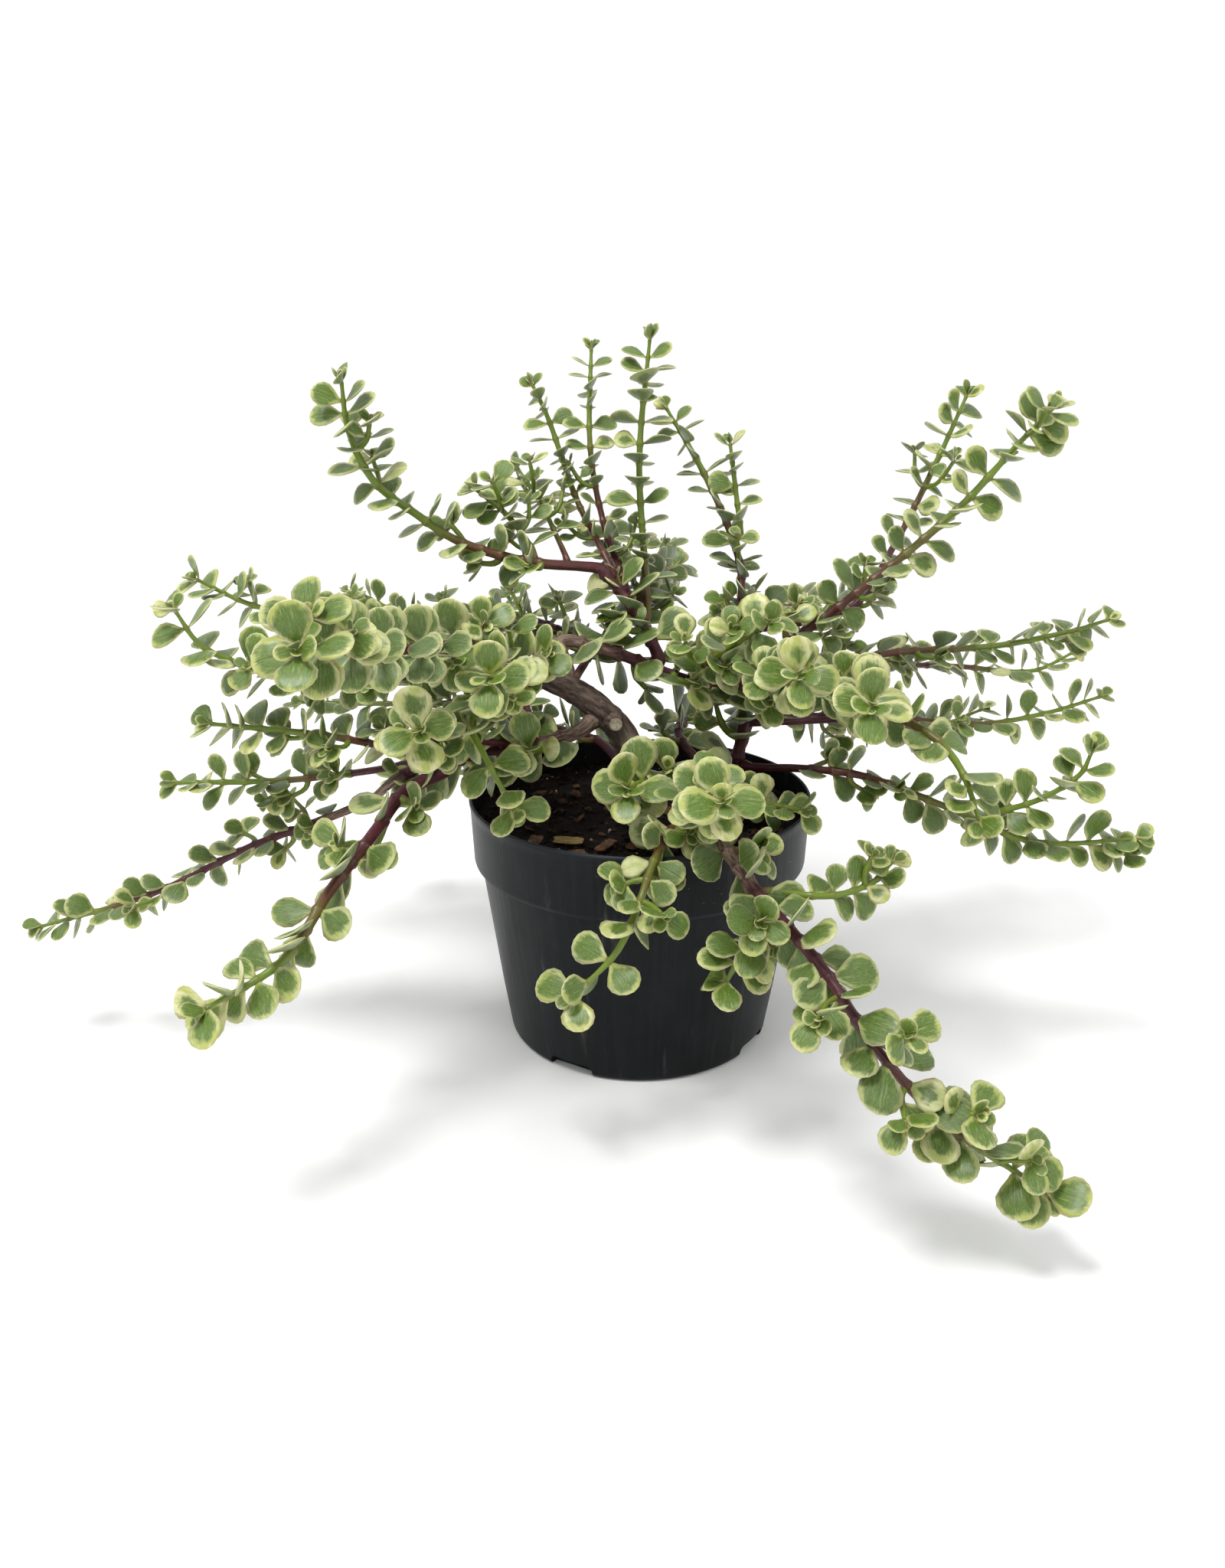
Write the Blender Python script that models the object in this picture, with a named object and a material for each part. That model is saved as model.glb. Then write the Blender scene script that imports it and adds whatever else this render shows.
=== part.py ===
"""A variegated dwarf jade, the small-leaved elephant bush, rooted in a round nursery pot.

Metres, +Z up. The origin is the middle of the pot's flat underside, and -Y is the plant's front.
The pot, the potting mix, the bark chips, the trunk, each limb and each shoot are pieces of their own.
A shoot is its stem with the leaves and side spurs that grew from it, drawn out of the stem's four sides.
"""

import math
import random

import bmesh
import bpy
import numpy as np
from mathutils import Matrix, Vector
from mathutils.bvhtree import BVHTree

MM = 0.001

# The pot: a plain collar over a tapering body, with drain notches in its bottom edge.
RIM_RADIUS = 77.5 * MM
POT_HEIGHT = 115 * MM
COLLAR_DEPTH = 29.5 * MM
COLLAR_TAPER = 1.6 * MM
COLLAR_STEP = 3.0 * MM
COLLAR_EDGE = 1.2 * MM
BASE_RADIUS = 61 * MM
BASE_FILLET = 3.0 * MM
POT_WALL = 1.4 * MM
POT_FLOOR = 1.8 * MM
POT_SEGMENTS = 36
NOTCH_COUNT = 4
NOTCH_BEARING = -31
NOTCH_WIDTH = 22 * MM
NOTCH_HEIGHT = 5.5 * MM
NOTCH_REACH = 6 * MM

# What touches keeps this much air, and a leaf keeps a little more from everything round it.
GAP = 0.3 * MM
LEAF_CLEARANCE = 0.4 * MM

# The potting mix and what lies on it.
SOIL_DROP = 11 * MM
PLANT_HOLE_DEPTH = 27 * MM
STEM_BURIED = 25 * MM
CHIP_THICKNESS = 2.2 * MM

# Wood and stems.
TRUNK_SIDES = 8
LIMB_RADIUS = 3.4 * MM
STUB_RADIUS = 2.8 * MM
STUB_LENGTH = 6.0 * MM
STEM_RADIUS = 1.35 * MM
TIP_RADIUS = 0.7 * MM
SLICE = 0.4 * MM
WOOD_STEP = 15 * MM

# Leaves and where they stand.
LEAF_LENGTH = 14.5 * MM
LEAF_BREADTH = 0.76
LEAF_THICKNESS = 2.4 * MM
BROADEST = 0.58
END_BREADTH = 0.5
BLADE_START = 0.34
INTERNODE = 18 * MM
TIP_INTERNODE = 0.42
INTERNODE_GROWTH = 1.5
NODE_HEIGHT = 1.9 * MM
TIP_MARGIN = 2.0 * MM
SPUR_LENGTH = 9 * MM
SPUR_LEAF = 0.84
LIGHT_SLANT = 0.6
LIGHT_TURN = 0.75
LIGHT_FLATTEN = 0.5

# A shoot whose stem would cross another is raised or lowered by this much, in mm, until it is free.
STEM_CLEARANCE = 0.1 * MM
STEM_LIFTS = (0, 4, -4, 8, -8, 12)

# A leaf that would touch something is turned or shortened, in this order, and left out if none is free.
# Each form is a turn in degrees and a share of the length.
LEAF_TRIES = (
    (0, 1), (-13, 1), (13, 1), (0, 0.86), (-22, 0.86), (20, 0.86), (0, 0.72), (-28, 0.72), (26, 0.72),
)

# Limbs: parent, fraction of its length, thickness against LIMB_RADIUS at foot and end, leaf size against
# the usual, bare length in mm, then places in mm as (x, y, height above the potting mix).
LIMBS = {
    "trunk": (None, 0, 2.05, 1.5, 0, 0,
        ((0, 0, 6), (-2, -1, 20), (-9, 0, 40), (-26, 0, 56), (-50, 2, 68))),
    "second_stem": (None, 0, 1.0, 0.7, 1.25, 42,
        ((44, 20, 6), (48, 20, 33), (50, 23, 54), (48, 27, 76))),
    "low_left_limb": ("trunk", 0.68, 1.0, 0.7, 1.3, 12,
        ((-46, -11, 37), (-72, -20, 35), (-95, -28, 33), (-104, -32, 29))),
    "high_left_limb": ("trunk", 1, 1.1, 0.7, 1.2, 8, ((-63, 0, 72), (-79, -5, 76), (-90, -8, 79))),
    "right_limb": ("trunk", 0.86, 0.9, 0.6, 1.3, 10,
        ((-36, 11, 78), (-14, 14, 73), (15, 13, 62), (33, 11, 58), (62, 8, 53))),
    "upper_limb": ("right_limb", 0.52, 0.8, 0.6, 1.2, 6, ((3, 25, 78), (-7, 30, 94), (-16, 34, 104))),
    "front_limb": ("second_stem", 0.32, 0.8, 0.7, 1.4, 6, ((39, -5, 14), (34, -22, 16), (30, -45, 17))),
}

# Shoots: parent, fraction, stem and leaf sizes against the usual, bare length in mm, spur spacing in
# nodes (0 for none), how far the tip is opened into a rosette (0 to 1), and the route in mm past the foot, as
# (bearing from the front in degrees, out beyond the pot's rim, up above the pot's rim).
SHOOTS = {
    "shoot_long_upper_left": ("upper_limb", 1, 1.5, 1.0, 22, 7, 0.2,
        ((-117, -22, 100), (-104, 5, 110), (-99, 22, 123),
         (-95, 37, 137), (-92, 45, 158), (-90, 46, 180))),
    "shoot_top_left": ("upper_limb", 0.94, 1.0, 0.8, 10, 0, 0,
        ((-157, -3, 121), (-152, 13, 157), (-149, 21, 174))),
    "shoot_top_centre": ("upper_limb", 0.72, 1.0, 0.78, 8, 0, 0,
        ((-166, -11, 109), (-163, 1, 145), (-166, 15, 190))),
    "shoot_top_tall": ("upper_limb", 0.45, 1.1, 1.0, 12, 0, 0,
        ((177, -24, 92), (-180, -17, 141), (176, -12, 195))),
    "shoot_top_right": ("second_stem", 0.93, 1.25, 0.9, 14, 7, 0,
        ((134, -10, 76), (142, -1, 96), (156, 4, 129), (172, 13, 163))),
    "shoot_top_right_side": ("shoot_top_right", 0.45, 0.8, 0.85, 4, 0, 0.3,
        ((146, 6, 120), (150, 8, 148))),
    "shoot_top_left_short": ("shoot_long_upper_left", 0.12, 0.8, 0.85, 8, 0, 0.2,
        ((-142, -4, 120), (-140, 12, 137))),
    "shoot_upper_left_bush": ("shoot_long_upper_left", 0.22, 0.8, 0.95, 4, 5, 0.7,
        ((-122, -8, 118), (-114, 4, 132))),
    "shoot_upper_right": ("second_stem", 1, 1.2, 0.95, 24, 7, 0.2,
        ((112, 28, 76), (115, 55, 103), (115, 76, 141), (115, 90, 170))),
    "shoot_far_upper_right": ("right_limb", 0.86, 1.4, 1.05, 26, 7, 0.3,
        ((97, -4, 72), (93, 20, 93), (90, 56, 127), (88, 77, 154), (87, 90, 170))),
    "shoot_right_high": ("right_limb", 0.92, 1.2, 0.95, 30, 7, 0.2,
        ((104, 38, 57), (102, 92, 59), (100, 126, 66), (99, 143, 72))),
    "shoot_right_back": ("second_stem", 0.8, 1.0, 0.9, 26, 7, 0,
        ((112, 49, 46), (113, 92, 41), (111, 134, 36), (110, 156, 45))),
    "shoot_right_mid": ("second_stem", 0.62, 1.0, 0.9, 30, 0, 0.1,
        ((100, 40, 28), (99, 84, 24), (99, 117, 28), (99, 144, 35))),
    "shoot_right_low": ("second_stem", 0.42, 1.2, 1.0, 26, 5, 0.1,
        ((92, -5, 10), (84, 22, 11), (79, 56, 3), (78, 96, -10), (78, 139, -5))),
    "shoot_right_fork": ("shoot_right_low", 0.62, 0.8, 1.0, 4, 0, 0.3,
        ((75, 94, 12), (75, 110, 25), (75, 114, 37))),
    "shoot_right_drooping": ("right_limb", 1, 1.5, 1.1, 14, 7, 0.6,
        ((80, 8, 52), (67, 50, 43), (65, 64, 32), (61, 76, 14))),
    "shoot_right_rosette": ("shoot_right_drooping", 0.25, 1.0, 1.0, 12, 5, 1,
        ((52, 32, 66), (28, 81, 82))),
    "shoot_front_right_rosette": ("right_limb", 0.78, 1.0, 1.0, 18, 5, 1, ((50, -5, 64), (25, 49, 86))),
    "shoot_crown_right": ("right_limb", 0.66, 1.0, 1.0, 8, 5, 0.8, ((60, -38, 70), (52, -12, 88))),
    "shoot_over_mix": ("trunk", 0.42, 1.0, 1.2, 8, 5, 0.9, ((5, -48, 17), (-6, -17, 23))),
    "shoot_rim_stub": ("front_limb", 0.45, 0.9, 0.9, 6, 0, 0.6, ((62, -20, 5), (58, 4, 7))),
    "shoot_front_trailing": ("front_limb", 1, 1.7, 1.15, 26, 5, 0.9,
        ((22, 3, 7), (22, 42, -3), (24, 75, -15), (26, 106, -36), (31, 126, -60), (38, 150, -83))),
    "shoot_front_side": ("shoot_front_trailing", 0.3, 0.9, 0.9, 8, 0, 0.1,
        ((33, 50, -3), (41, 56, 0), (44, 60, 9))),
    "shoot_front_hanging": ("shoot_front_trailing", 0.36, 0.9, 1.1, 4, 0, 1,
        ((18, 46, -20), (14, 46, -34))),
    "shoot_front_centre": ("front_limb", 0.72, 1.3, 1.05, 26, 5, 0.9,
        ((8, -8, 6), (2, 12, 2), (-2, 26, -12), (-6, 34, -26), (-14, 42, -42))),
    "shoot_front_rosette": ("front_limb", 0.88, 1.1, 1.05, 24, 5, 1, ((20, -10, 20), (11, 60, 46))),
    "shoot_left_near": ("high_left_limb", 0.62, 1.3, 0.98, 30, 5, 1,
        ((-56, 8, 84), (-42, 38, 89), (-32, 90, 102), (-23, 167, 123))),
    "shoot_left_high": ("high_left_limb", 0.92, 1.2, 1.05, 26, 5, 0.7,
        ((-71, 17, 64), (-70, 67, 66), (-71, 104, 81), (-72, 115, 98))),
    "shoot_left_back": ("high_left_limb", 0.76, 1.1, 0.95, 22, 5, 0.5,
        ((-97, 8, 66), (-99, 57, 72), (-100, 102, 79), (-98, 126, 92))),
    "shoot_left_mid": ("low_left_limb", 0.6, 1.1, 0.95, 26, 5, 0.4,
        ((-72, 6, 31), (-69, 35, 35), (-69, 63, 43), (-71, 107, 51))),
    "shoot_left_low": ("low_left_limb", 0.9, 1.0, 0.9, 26, 5, 0.2,
        ((-79, 40, 18), (-80, 80, 15), (-79, 125, 18))),
    "shoot_far_left": ("low_left_limb", 1, 1.2, 0.9, 24, 5, 0.2,
        ((-77, 45, 5), (-82, 96, -17), (-83, 142, -39), (-85, 196, -57))),
    "shoot_left_trailing": ("low_left_limb", 0.78, 1.9, 1.15, 30, 5, 0.9,
        ((-64, 32, 18), (-53, 55, 13), (-46, 87, 2), (-43, 114, -13), (-44, 145, -22))),
    "shoot_back_left_upright": ("high_left_limb", 0.45, 0.9, 0.85, 10, 7, 0,
        ((-112, 4, 66), (-117, 43, 67), (-119, 80, 76))),
    "shoot_left_rim": ("high_left_limb", 0.35, 1.1, 1.1, 30, 0, 0.7,
        ((-66, -8, 58), (-51, 12, 50), (-43, 14, 38), (-34, 14, 19))),
    "shoot_crown_front": ("high_left_limb", 0.24, 1.0, 1.05, 10, 5, 1, ((-60, -18, 66), (-33, 30, 78))),
    "shoot_left_front_rosette": ("low_left_limb", 0.45, 1.0, 1.0, 12, 5, 1,
        ((-62, 10, 38), (-48, 40, 52), (-35, 64, 66))),
    "shoot_back_left_high": ("trunk", 0.82, 1.2, 1.0, 16, 0, 0.4,
        ((-150, -28, 56), (-145, 20, 62), (-143, 85, 45))),
    "shoot_back_high": ("right_limb", 0.36, 1.2, 1.0, 14, 0, 0.4,
        ((180, -22, 72), (173, 30, 80), (172, 92, 70))),
    "shoot_back_right_high": ("second_stem", 0.86, 1.2, 1.0, 14, 0, 0.4,
        ((140, -8, 66), (145, 50, 62), (148, 112, 50))),
    "shoot_back_trailing": ("second_stem", 0.3, 1.4, 1.05, 22, 5, 0.8,
        ((158, -22, 8), (164, 12, 8), (168, 48, -20), (170, 68, -58))),
    "shoot_back_left_trailing": ("trunk", 0.36, 1.4, 1.05, 26, 5, 0.8,
        ((-155, -28, 10), (-142, 14, 8), (-136, 60, -14), (-132, 100, -38))),
    "shoot_back_right_low": ("second_stem", 0.5, 1.1, 1.0, 26, 0, 0.3,
        ((126, -8, 22), (122, 40, 16), (120, 92, 2), (118, 128, 10))),
    "shoot_back_left_low": ("low_left_limb", 0.3, 1.1, 1.0, 20, 0, 0.3,
        ((-115, -16, 34), (-116, 40, 26), (-112, 104, 22))),
    "shoot_back_crown": ("upper_limb", 0.35, 1.1, 1.0, 10, 5, 0.7, ((-178, -22, 84), (-172, 20, 102))),
}

# Bark chips on the mix: bearing, distance from the middle, length and breadth in mm, and turn in degrees.
CHIPS = {
    "bark_chip_1": (-31, 60, 16, 6, 20),
    "bark_chip_2": (-17, 62, 12, 7, -35),
    "bark_chip_3": (-20, 44, 14, 5, 60),
    "bark_chip_4": (-52, 58, 10, 6, 80),
    "fallen_leaf": (-40, 49, 13, 8, -10),
}

# Colours from the living plant: name, colour, roughness.
FINISHES = {
    "pot_plastic": ((0.016, 0.019, 0.023), 0.38),
    "potting_mix": ((0.020, 0.014, 0.010), 0.95),
    "bark": ((0.115, 0.075, 0.050), 0.85),
    "stem_skin": ((0.110, 0.022, 0.020), 0.45),
    "leaf": ((0.260, 0.400, 0.120), 0.35),
    "chip": ((0.130, 0.062, 0.030), 0.80),
    "dry_leaf": ((0.420, 0.300, 0.130), 0.70),
}


def finish(name):
    """The material of that name, made the first time it is asked for."""
    found = bpy.data.materials.get(name)
    if found:
        return found
    colour, roughness = FINISHES[name]
    made = bpy.data.materials.new(name)
    made.use_nodes = True
    shader = made.node_tree.nodes["Principled BSDF"]
    shader.inputs["Base Color"].default_value = (*colour, 1)
    shader.inputs["Roughness"].default_value = roughness
    shader.inputs["Metallic"].default_value = 0
    made.diffuse_color = (*colour, 1)
    return made


def put_in_scene(bm, name, material):
    """Turns a bmesh into a named object with its finish."""
    mesh = bpy.data.meshes.new(name)
    bm.to_mesh(mesh)
    bm.free()
    piece = bpy.data.objects.new(name, mesh)
    bpy.context.collection.objects.link(piece)
    mesh.materials.append(finish(material))
    return piece


def cut(piece, cutter):
    """Takes the cutter away from the piece, and leaves the cutter as a hidden guide."""
    cutter.hide_render = True
    cutter.display_type = "WIRE"
    modifier = piece.modifiers.new("cut_" + cutter.name, "BOOLEAN")
    modifier.operation = "DIFFERENCE"
    modifier.solver = "EXACT"
    modifier.object = cutter


def turned(name, profile, segments, material):
    """A solid turned about Z from a profile of (radius, height) that starts and ends on the axis."""
    bm = bmesh.new()
    verts = [bm.verts.new((radius, 0, height)) for radius, height in profile]
    edges = [bm.edges.new(pair) for pair in zip(verts, verts[1:])]
    bmesh.ops.spin(bm, geom=verts + edges, axis=(0, 0, 1), cent=(0, 0, 0), angle=math.tau,
                   steps=segments, use_merge=True)
    bmesh.ops.remove_doubles(bm, verts=bm.verts, dist=0.01 * MM)
    bmesh.ops.recalc_face_normals(bm, faces=bm.faces)
    return put_in_scene(bm, name, material)


# ---------------------------------------------------------------- pot and potting mix


def mix_level():
    return POT_HEIGHT - SOIL_DROP


def collar_foot_radius():
    return RIM_RADIUS - COLLAR_TAPER


def body_top_radius():
    return collar_foot_radius() - COLLAR_STEP


def outer_radius(height):
    """The pot's outside under the collar, at a height."""
    share = height / (POT_HEIGHT - COLLAR_DEPTH)
    return BASE_RADIUS + (body_top_radius() - BASE_RADIUS) * share


def inner_radius(height):
    """The pot's inside at a height, which widens at the collar as the outside does."""
    collar_foot = POT_HEIGHT - COLLAR_DEPTH
    if height < collar_foot:
        return outer_radius(height) - POT_WALL
    share = (height - collar_foot) / COLLAR_DEPTH
    return collar_foot_radius() + COLLAR_TAPER * share - POT_WALL


def fillet_points(count):
    """The rounded bottom edge, from the underside up to the wall."""
    radius = BASE_RADIUS - BASE_FILLET
    for step in range(count + 1):
        angle = math.pi / 2 * step / count
        yield radius + BASE_FILLET * math.sin(angle), BASE_FILLET * (1 - math.cos(angle))


def pot_profile():
    foot = POT_HEIGHT - COLLAR_DEPTH
    outside = [(0, 0), *fillet_points(3)]
    outside += [(outer_radius(foot) - 0.3 * MM, foot - 0.4 * MM), (body_top_radius() + COLLAR_EDGE, foot)]
    outside += [(collar_foot_radius() - 0.5 * MM, foot + 0.4 * MM)]
    outside += [(collar_foot_radius(), foot + COLLAR_EDGE)]
    outside += [(RIM_RADIUS - 0.2 * MM, POT_HEIGHT - 0.4 * MM), (RIM_RADIUS - 0.5 * MM, POT_HEIGHT)]
    inside = [(RIM_RADIUS - POT_WALL, POT_HEIGHT), (inner_radius(foot + 2.5 * MM), foot + 2.5 * MM)]
    inside += [(inner_radius(foot - 2 * MM), foot - 2 * MM)]
    inside += [(outer_radius(POT_FLOOR + 2 * MM) - POT_WALL, POT_FLOOR + 2 * MM)]
    inside += [(outer_radius(POT_FLOOR) - POT_WALL - 2 * MM, POT_FLOOR), (0, POT_FLOOR)]
    return outside + inside


def notch_cutter(index):
    """One drain notch through the bottom edge, rounded at its upper corners."""
    bm = bmesh.new()
    bmesh.ops.create_cube(bm, size=1)
    size = Matrix.Diagonal((NOTCH_WIDTH, 2 * NOTCH_REACH, 2 * NOTCH_HEIGHT, 1))
    bmesh.ops.transform(bm, matrix=size, verts=bm.verts)
    corners = []
    for edge in bm.edges:
        near, far = edge.verts
        if min(near.co.z, far.co.z) > 0 and abs(near.co.x - far.co.x) < MM:
            corners.append(edge)
    bmesh.ops.bevel(bm, geom=corners, offset=2.5 * MM, segments=2, profile=0.5, affect="EDGES",
                    material=-1)
    bearing = math.radians(NOTCH_BEARING + index * 360 / NOTCH_COUNT)
    place = Matrix.Rotation(bearing, 4, "Z") @ Matrix.Translation((0, -BASE_RADIUS, 0))
    bmesh.ops.transform(bm, matrix=place, verts=bm.verts)
    return put_in_scene(bm, f"notch_{index + 1}_guide", "pot_plastic")


def make_pot():
    pot = turned("pot", pot_profile(), POT_SEGMENTS, "pot_plastic")
    for index in range(NOTCH_COUNT):
        cut(pot, notch_cutter(index))
    pot.data.shade_smooth()
    return pot


def mix_profile():
    """The potting mix fills the pot, and keeps the gap from its wall and floor."""
    top = mix_level()
    foot = POT_HEIGHT - COLLAR_DEPTH
    bottom = POT_FLOOR + GAP
    keep = 0.6 * MM
    outside = [(0, bottom), (inner_radius(bottom) - 3.5 * MM, bottom)]
    outside += [(inner_radius(bottom + 4 * MM) - keep, bottom + 4 * MM)]
    outside += [(inner_radius(foot - 3 * MM) - keep, foot - 3 * MM)]
    outside += [(inner_radius(foot + 4 * MM) - keep, foot + 4 * MM)]
    outside += [(inner_radius(top) - keep - 1.5 * MM, top), (0, top)]
    return outside


def hole_cutter(name, place, radius):
    """The hole in the mix that a woody stem stands in."""
    bm = bmesh.new()
    depth = Matrix.Translation((place.x, place.y, mix_level()))
    bmesh.ops.create_cone(bm, cap_ends=True, segments=16, radius1=radius, radius2=radius,
                          depth=2 * PLANT_HOLE_DEPTH, matrix=depth)
    return put_in_scene(bm, name, "potting_mix")


def make_mix(stems):
    mix = turned("potting_mix", mix_profile(), POT_SEGMENTS, "potting_mix")
    for stem in stems:
        corner = math.sqrt(2) if stem.square else 1
        radius = (stem.foot_radius * corner + GAP) / math.cos(math.pi / 16) + 0.1 * MM
        cut(mix, hole_cutter(stem.name + "_hole_guide", stem.route.places[0], radius))
    return mix


def make_chip(name):
    """A flake that lies flat on the mix, with broken corners."""
    bearing, distance, length, breadth, turn = CHIPS[name]
    draw = random.Random(name)
    bm = bmesh.new()
    bmesh.ops.create_cube(bm, size=1)
    size = Matrix.Diagonal((length * MM, breadth * MM, CHIP_THICKNESS, 1))
    bmesh.ops.transform(bm, matrix=size, verts=bm.verts)
    upright = [e for e in bm.edges if abs(e.verts[0].co.z - e.verts[1].co.z) > MM]
    bmesh.ops.bevel(bm, geom=upright, offset=1.6 * MM, segments=1, profile=0.5, affect="EDGES",
                    material=-1)
    for vert in bm.verts:
        if vert.co.z > 0:
            vert.co.x *= draw.uniform(0.75, 0.95)
            vert.co.y *= draw.uniform(0.7, 0.95)
    angle = math.radians(bearing)
    reach = min(distance * MM, inner_radius(mix_level()) - length * MM / 2 - 2 * MM)
    height = mix_level() + GAP + CHIP_THICKNESS / 2
    middle = Vector((reach * math.sin(angle), -reach * math.cos(angle), height))
    place = Matrix.Translation(middle) @ Matrix.Rotation(math.radians(turn), 4, "Z")
    bmesh.ops.transform(bm, matrix=place, verts=bm.verts)
    return put_in_scene(bm, name, "dry_leaf" if name == "fallen_leaf" else "chip")


# ---------------------------------------------------------------- routes


class Route:
    """A smooth curve through a list of places, which can be read at any distance along it."""

    SPAN_STEPS = 12

    def __init__(self, points, heading):
        self.places = []
        knots = [0.0]
        for near, far in zip(points, points[1:]):
            knots.append(knots[-1] + (far - near).length)
        slopes = [heading.normalized()]
        for i in range(1, len(points) - 1):
            slopes.append((points[i + 1] - points[i - 1]) / (knots[i + 1] - knots[i - 1]))
        slopes.append((points[-1] - points[-2]).normalized())
        for i in range(len(points) - 1):
            span = knots[i + 1] - knots[i]
            for step in range(self.SPAN_STEPS):
                t = step / self.SPAN_STEPS
                self.places.append(
                    points[i] * (1 + 2 * t) * (1 - t) ** 2
                    + slopes[i] * span * t * (1 - t) ** 2
                    + points[i + 1] * t * t * (3 - 2 * t)
                    + slopes[i + 1] * span * t * t * (t - 1)
                )
        self.places.append(points[-1].copy())
        self.run = [0.0]
        for near, far in zip(self.places, self.places[1:]):
            self.run.append(self.run[-1] + (far - near).length)
        self.length = self.run[-1]
        self.first_heading = heading.normalized()

    def place(self, distance):
        distance = min(max(distance, 0), self.length)
        for i in range(len(self.places) - 1):
            if distance <= self.run[i + 1]:
                share = (distance - self.run[i]) / (self.run[i + 1] - self.run[i])
                return self.places[i].lerp(self.places[i + 1], share)
        return self.places[-1].copy()

    def heading(self, distance):
        if distance < 0.5 * MM:
            return self.first_heading.copy()
        return (self.place(distance + MM) - self.place(distance - MM)).normalized()


class Ring:
    """A cross-section of a stem: its middle, the way it faces, a side direction and its radius."""

    def __init__(self, place, heading, side, radius):
        self.place = place
        self.heading = heading
        self.side = (side - heading * side.dot(heading)).normalized()
        self.radius = radius

    @property
    def other(self):
        return self.heading.cross(self.side)

    def direction(self, quarter):
        return (self.side, self.other, -self.side, -self.other)[quarter % 4]


def ring_after(ring, place, heading, radius):
    """The next cross-section, with its sides carried along without a twist."""
    side = ring.side.copy()
    side.rotate(ring.heading.rotation_difference(heading))
    return Ring(place, heading, side, radius)


def level_side(heading):
    """A side direction that lies level, or along X for an upright stem."""
    side = heading.cross(Vector((0, 0, 1)))
    return side.normalized() if side.length > 0.2 else Vector((1, 0, 0))


# ---------------------------------------------------------------- what has been placed


class Crowd:
    """Everything placed so far, each as a small closed block, so that a new leaf can find free air."""

    def __init__(self):
        self.low = np.empty((0, 3))
        self.high = np.empty((0, 3))
        self.trees = []
        self.owners = []

    def add(self, points, faces, owner):
        corners = np.array([tuple(p) for p in points])
        self.low = np.vstack([self.low, corners.min(0)])
        self.high = np.vstack([self.high, corners.max(0)])
        self.trees.append(BVHTree.FromPolygons([tuple(p) for p in points], faces))
        self.owners.append(owner)

    def blocked(self, points, faces, wanted):
        """Whether this block meets any placed block whose owner is wanted."""
        corners = np.array([tuple(p) for p in points])
        low, high = corners.min(0), corners.max(0)
        near = np.nonzero(((self.low <= high) & (self.high >= low)).all(1))[0]
        near = [i for i in near if wanted(self.owners[i])]
        if not near:
            return False
        tree = BVHTree.FromPolygons([tuple(p) for p in points], faces)
        return any(tree.overlap(self.trees[i]) for i in near)


BOX_FACES = ((0, 3, 2, 1), (4, 5, 6, 7), (0, 1, 5, 4), (1, 2, 6, 5), (2, 3, 7, 6), (3, 0, 4, 7))


def box_between(near, far, spare):
    """The block of stem between two cross-sections, as corners in the order that BOX_FACES takes."""
    points = []
    for ring in (near, far):
        reach = ring.radius + spare
        for a, b in ((-1, -1), (1, -1), (1, 1), (-1, 1)):
            points.append(ring.place + ring.side * a * reach + ring.other * b * reach)
    return points


# ---------------------------------------------------------------- leaves


class Leaf:
    """A fleshy leaf: where it leaves the stem, its direction, its breadth direction and its size."""

    def __init__(self, foot, direction, across, length):
        self.foot = foot
        self.direction = direction
        self.across = (across - direction * across.dot(direction)).normalized()
        self.upper = direction.cross(self.across)
        self.length = length

    def section(self, share, half_breadth, half_thickness):
        middle = self.foot + self.direction * self.length * share
        wide = self.across * half_breadth
        thick = self.upper * half_thickness
        corners = [middle - wide - thick, middle + wide - thick]
        return corners + [middle + wide + thick, middle - wide + thick]

    def sections(self):
        """What the leaf is drawn through: its broadest place, then its thin end."""
        half = self.length * LEAF_BREADTH / 2
        return ((BROADEST, half, LEAF_THICKNESS / 2), (1, half * END_BREADTH, 0))

    def blocks(self, start, half_start, spare):
        """The leaf as two blocks with spare air round them, which meet at its broadest place."""
        (mid, half, thick), (end, half_end, _) = self.sections()
        rise = half_start + (half - half_start) * start / mid
        swell = half_start + (thick - half_start) * start / mid
        first = self.section(start, rise + spare, swell + spare)
        broad = self.section(mid, half + spare, thick + spare)
        last = self.section(end + spare / self.length, half_end + spare, 0.1 * MM + spare)
        return (first + broad, broad + last)


def light_at(place):
    """The way the light comes from: above, and from outside the plant's middle."""
    outward = Vector((place.x, place.y, 0))
    if outward.length > MM:
        outward.normalize()
    return (outward * LIGHT_SLANT + Vector((0, 0, 1))).normalized()


def leaf_from(ring, quarter, angle, length, roll):
    """A leaf from one side of a stem, leaning from the stem by an angle and turned to face the light."""
    outward = ring.direction(quarter)
    light = light_at(ring.place)
    lean = math.radians(angle)
    direction = ring.heading * math.cos(lean) + outward * math.sin(lean)
    direction = (direction - light * direction.dot(light) * LIGHT_FLATTEN * math.sin(lean)).normalized()
    natural = ring.heading.cross(outward)
    turned_to_light = light.cross(direction)
    if natural.dot(turned_to_light) < 0:
        natural.negate()
    across = natural * (1 - LIGHT_TURN) + turned_to_light * LIGHT_TURN
    across.rotate(Matrix.Rotation(math.radians(roll), 3, direction))
    return Leaf(ring.place + outward * ring.radius, direction, across, length)


# ---------------------------------------------------------------- stems


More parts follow.
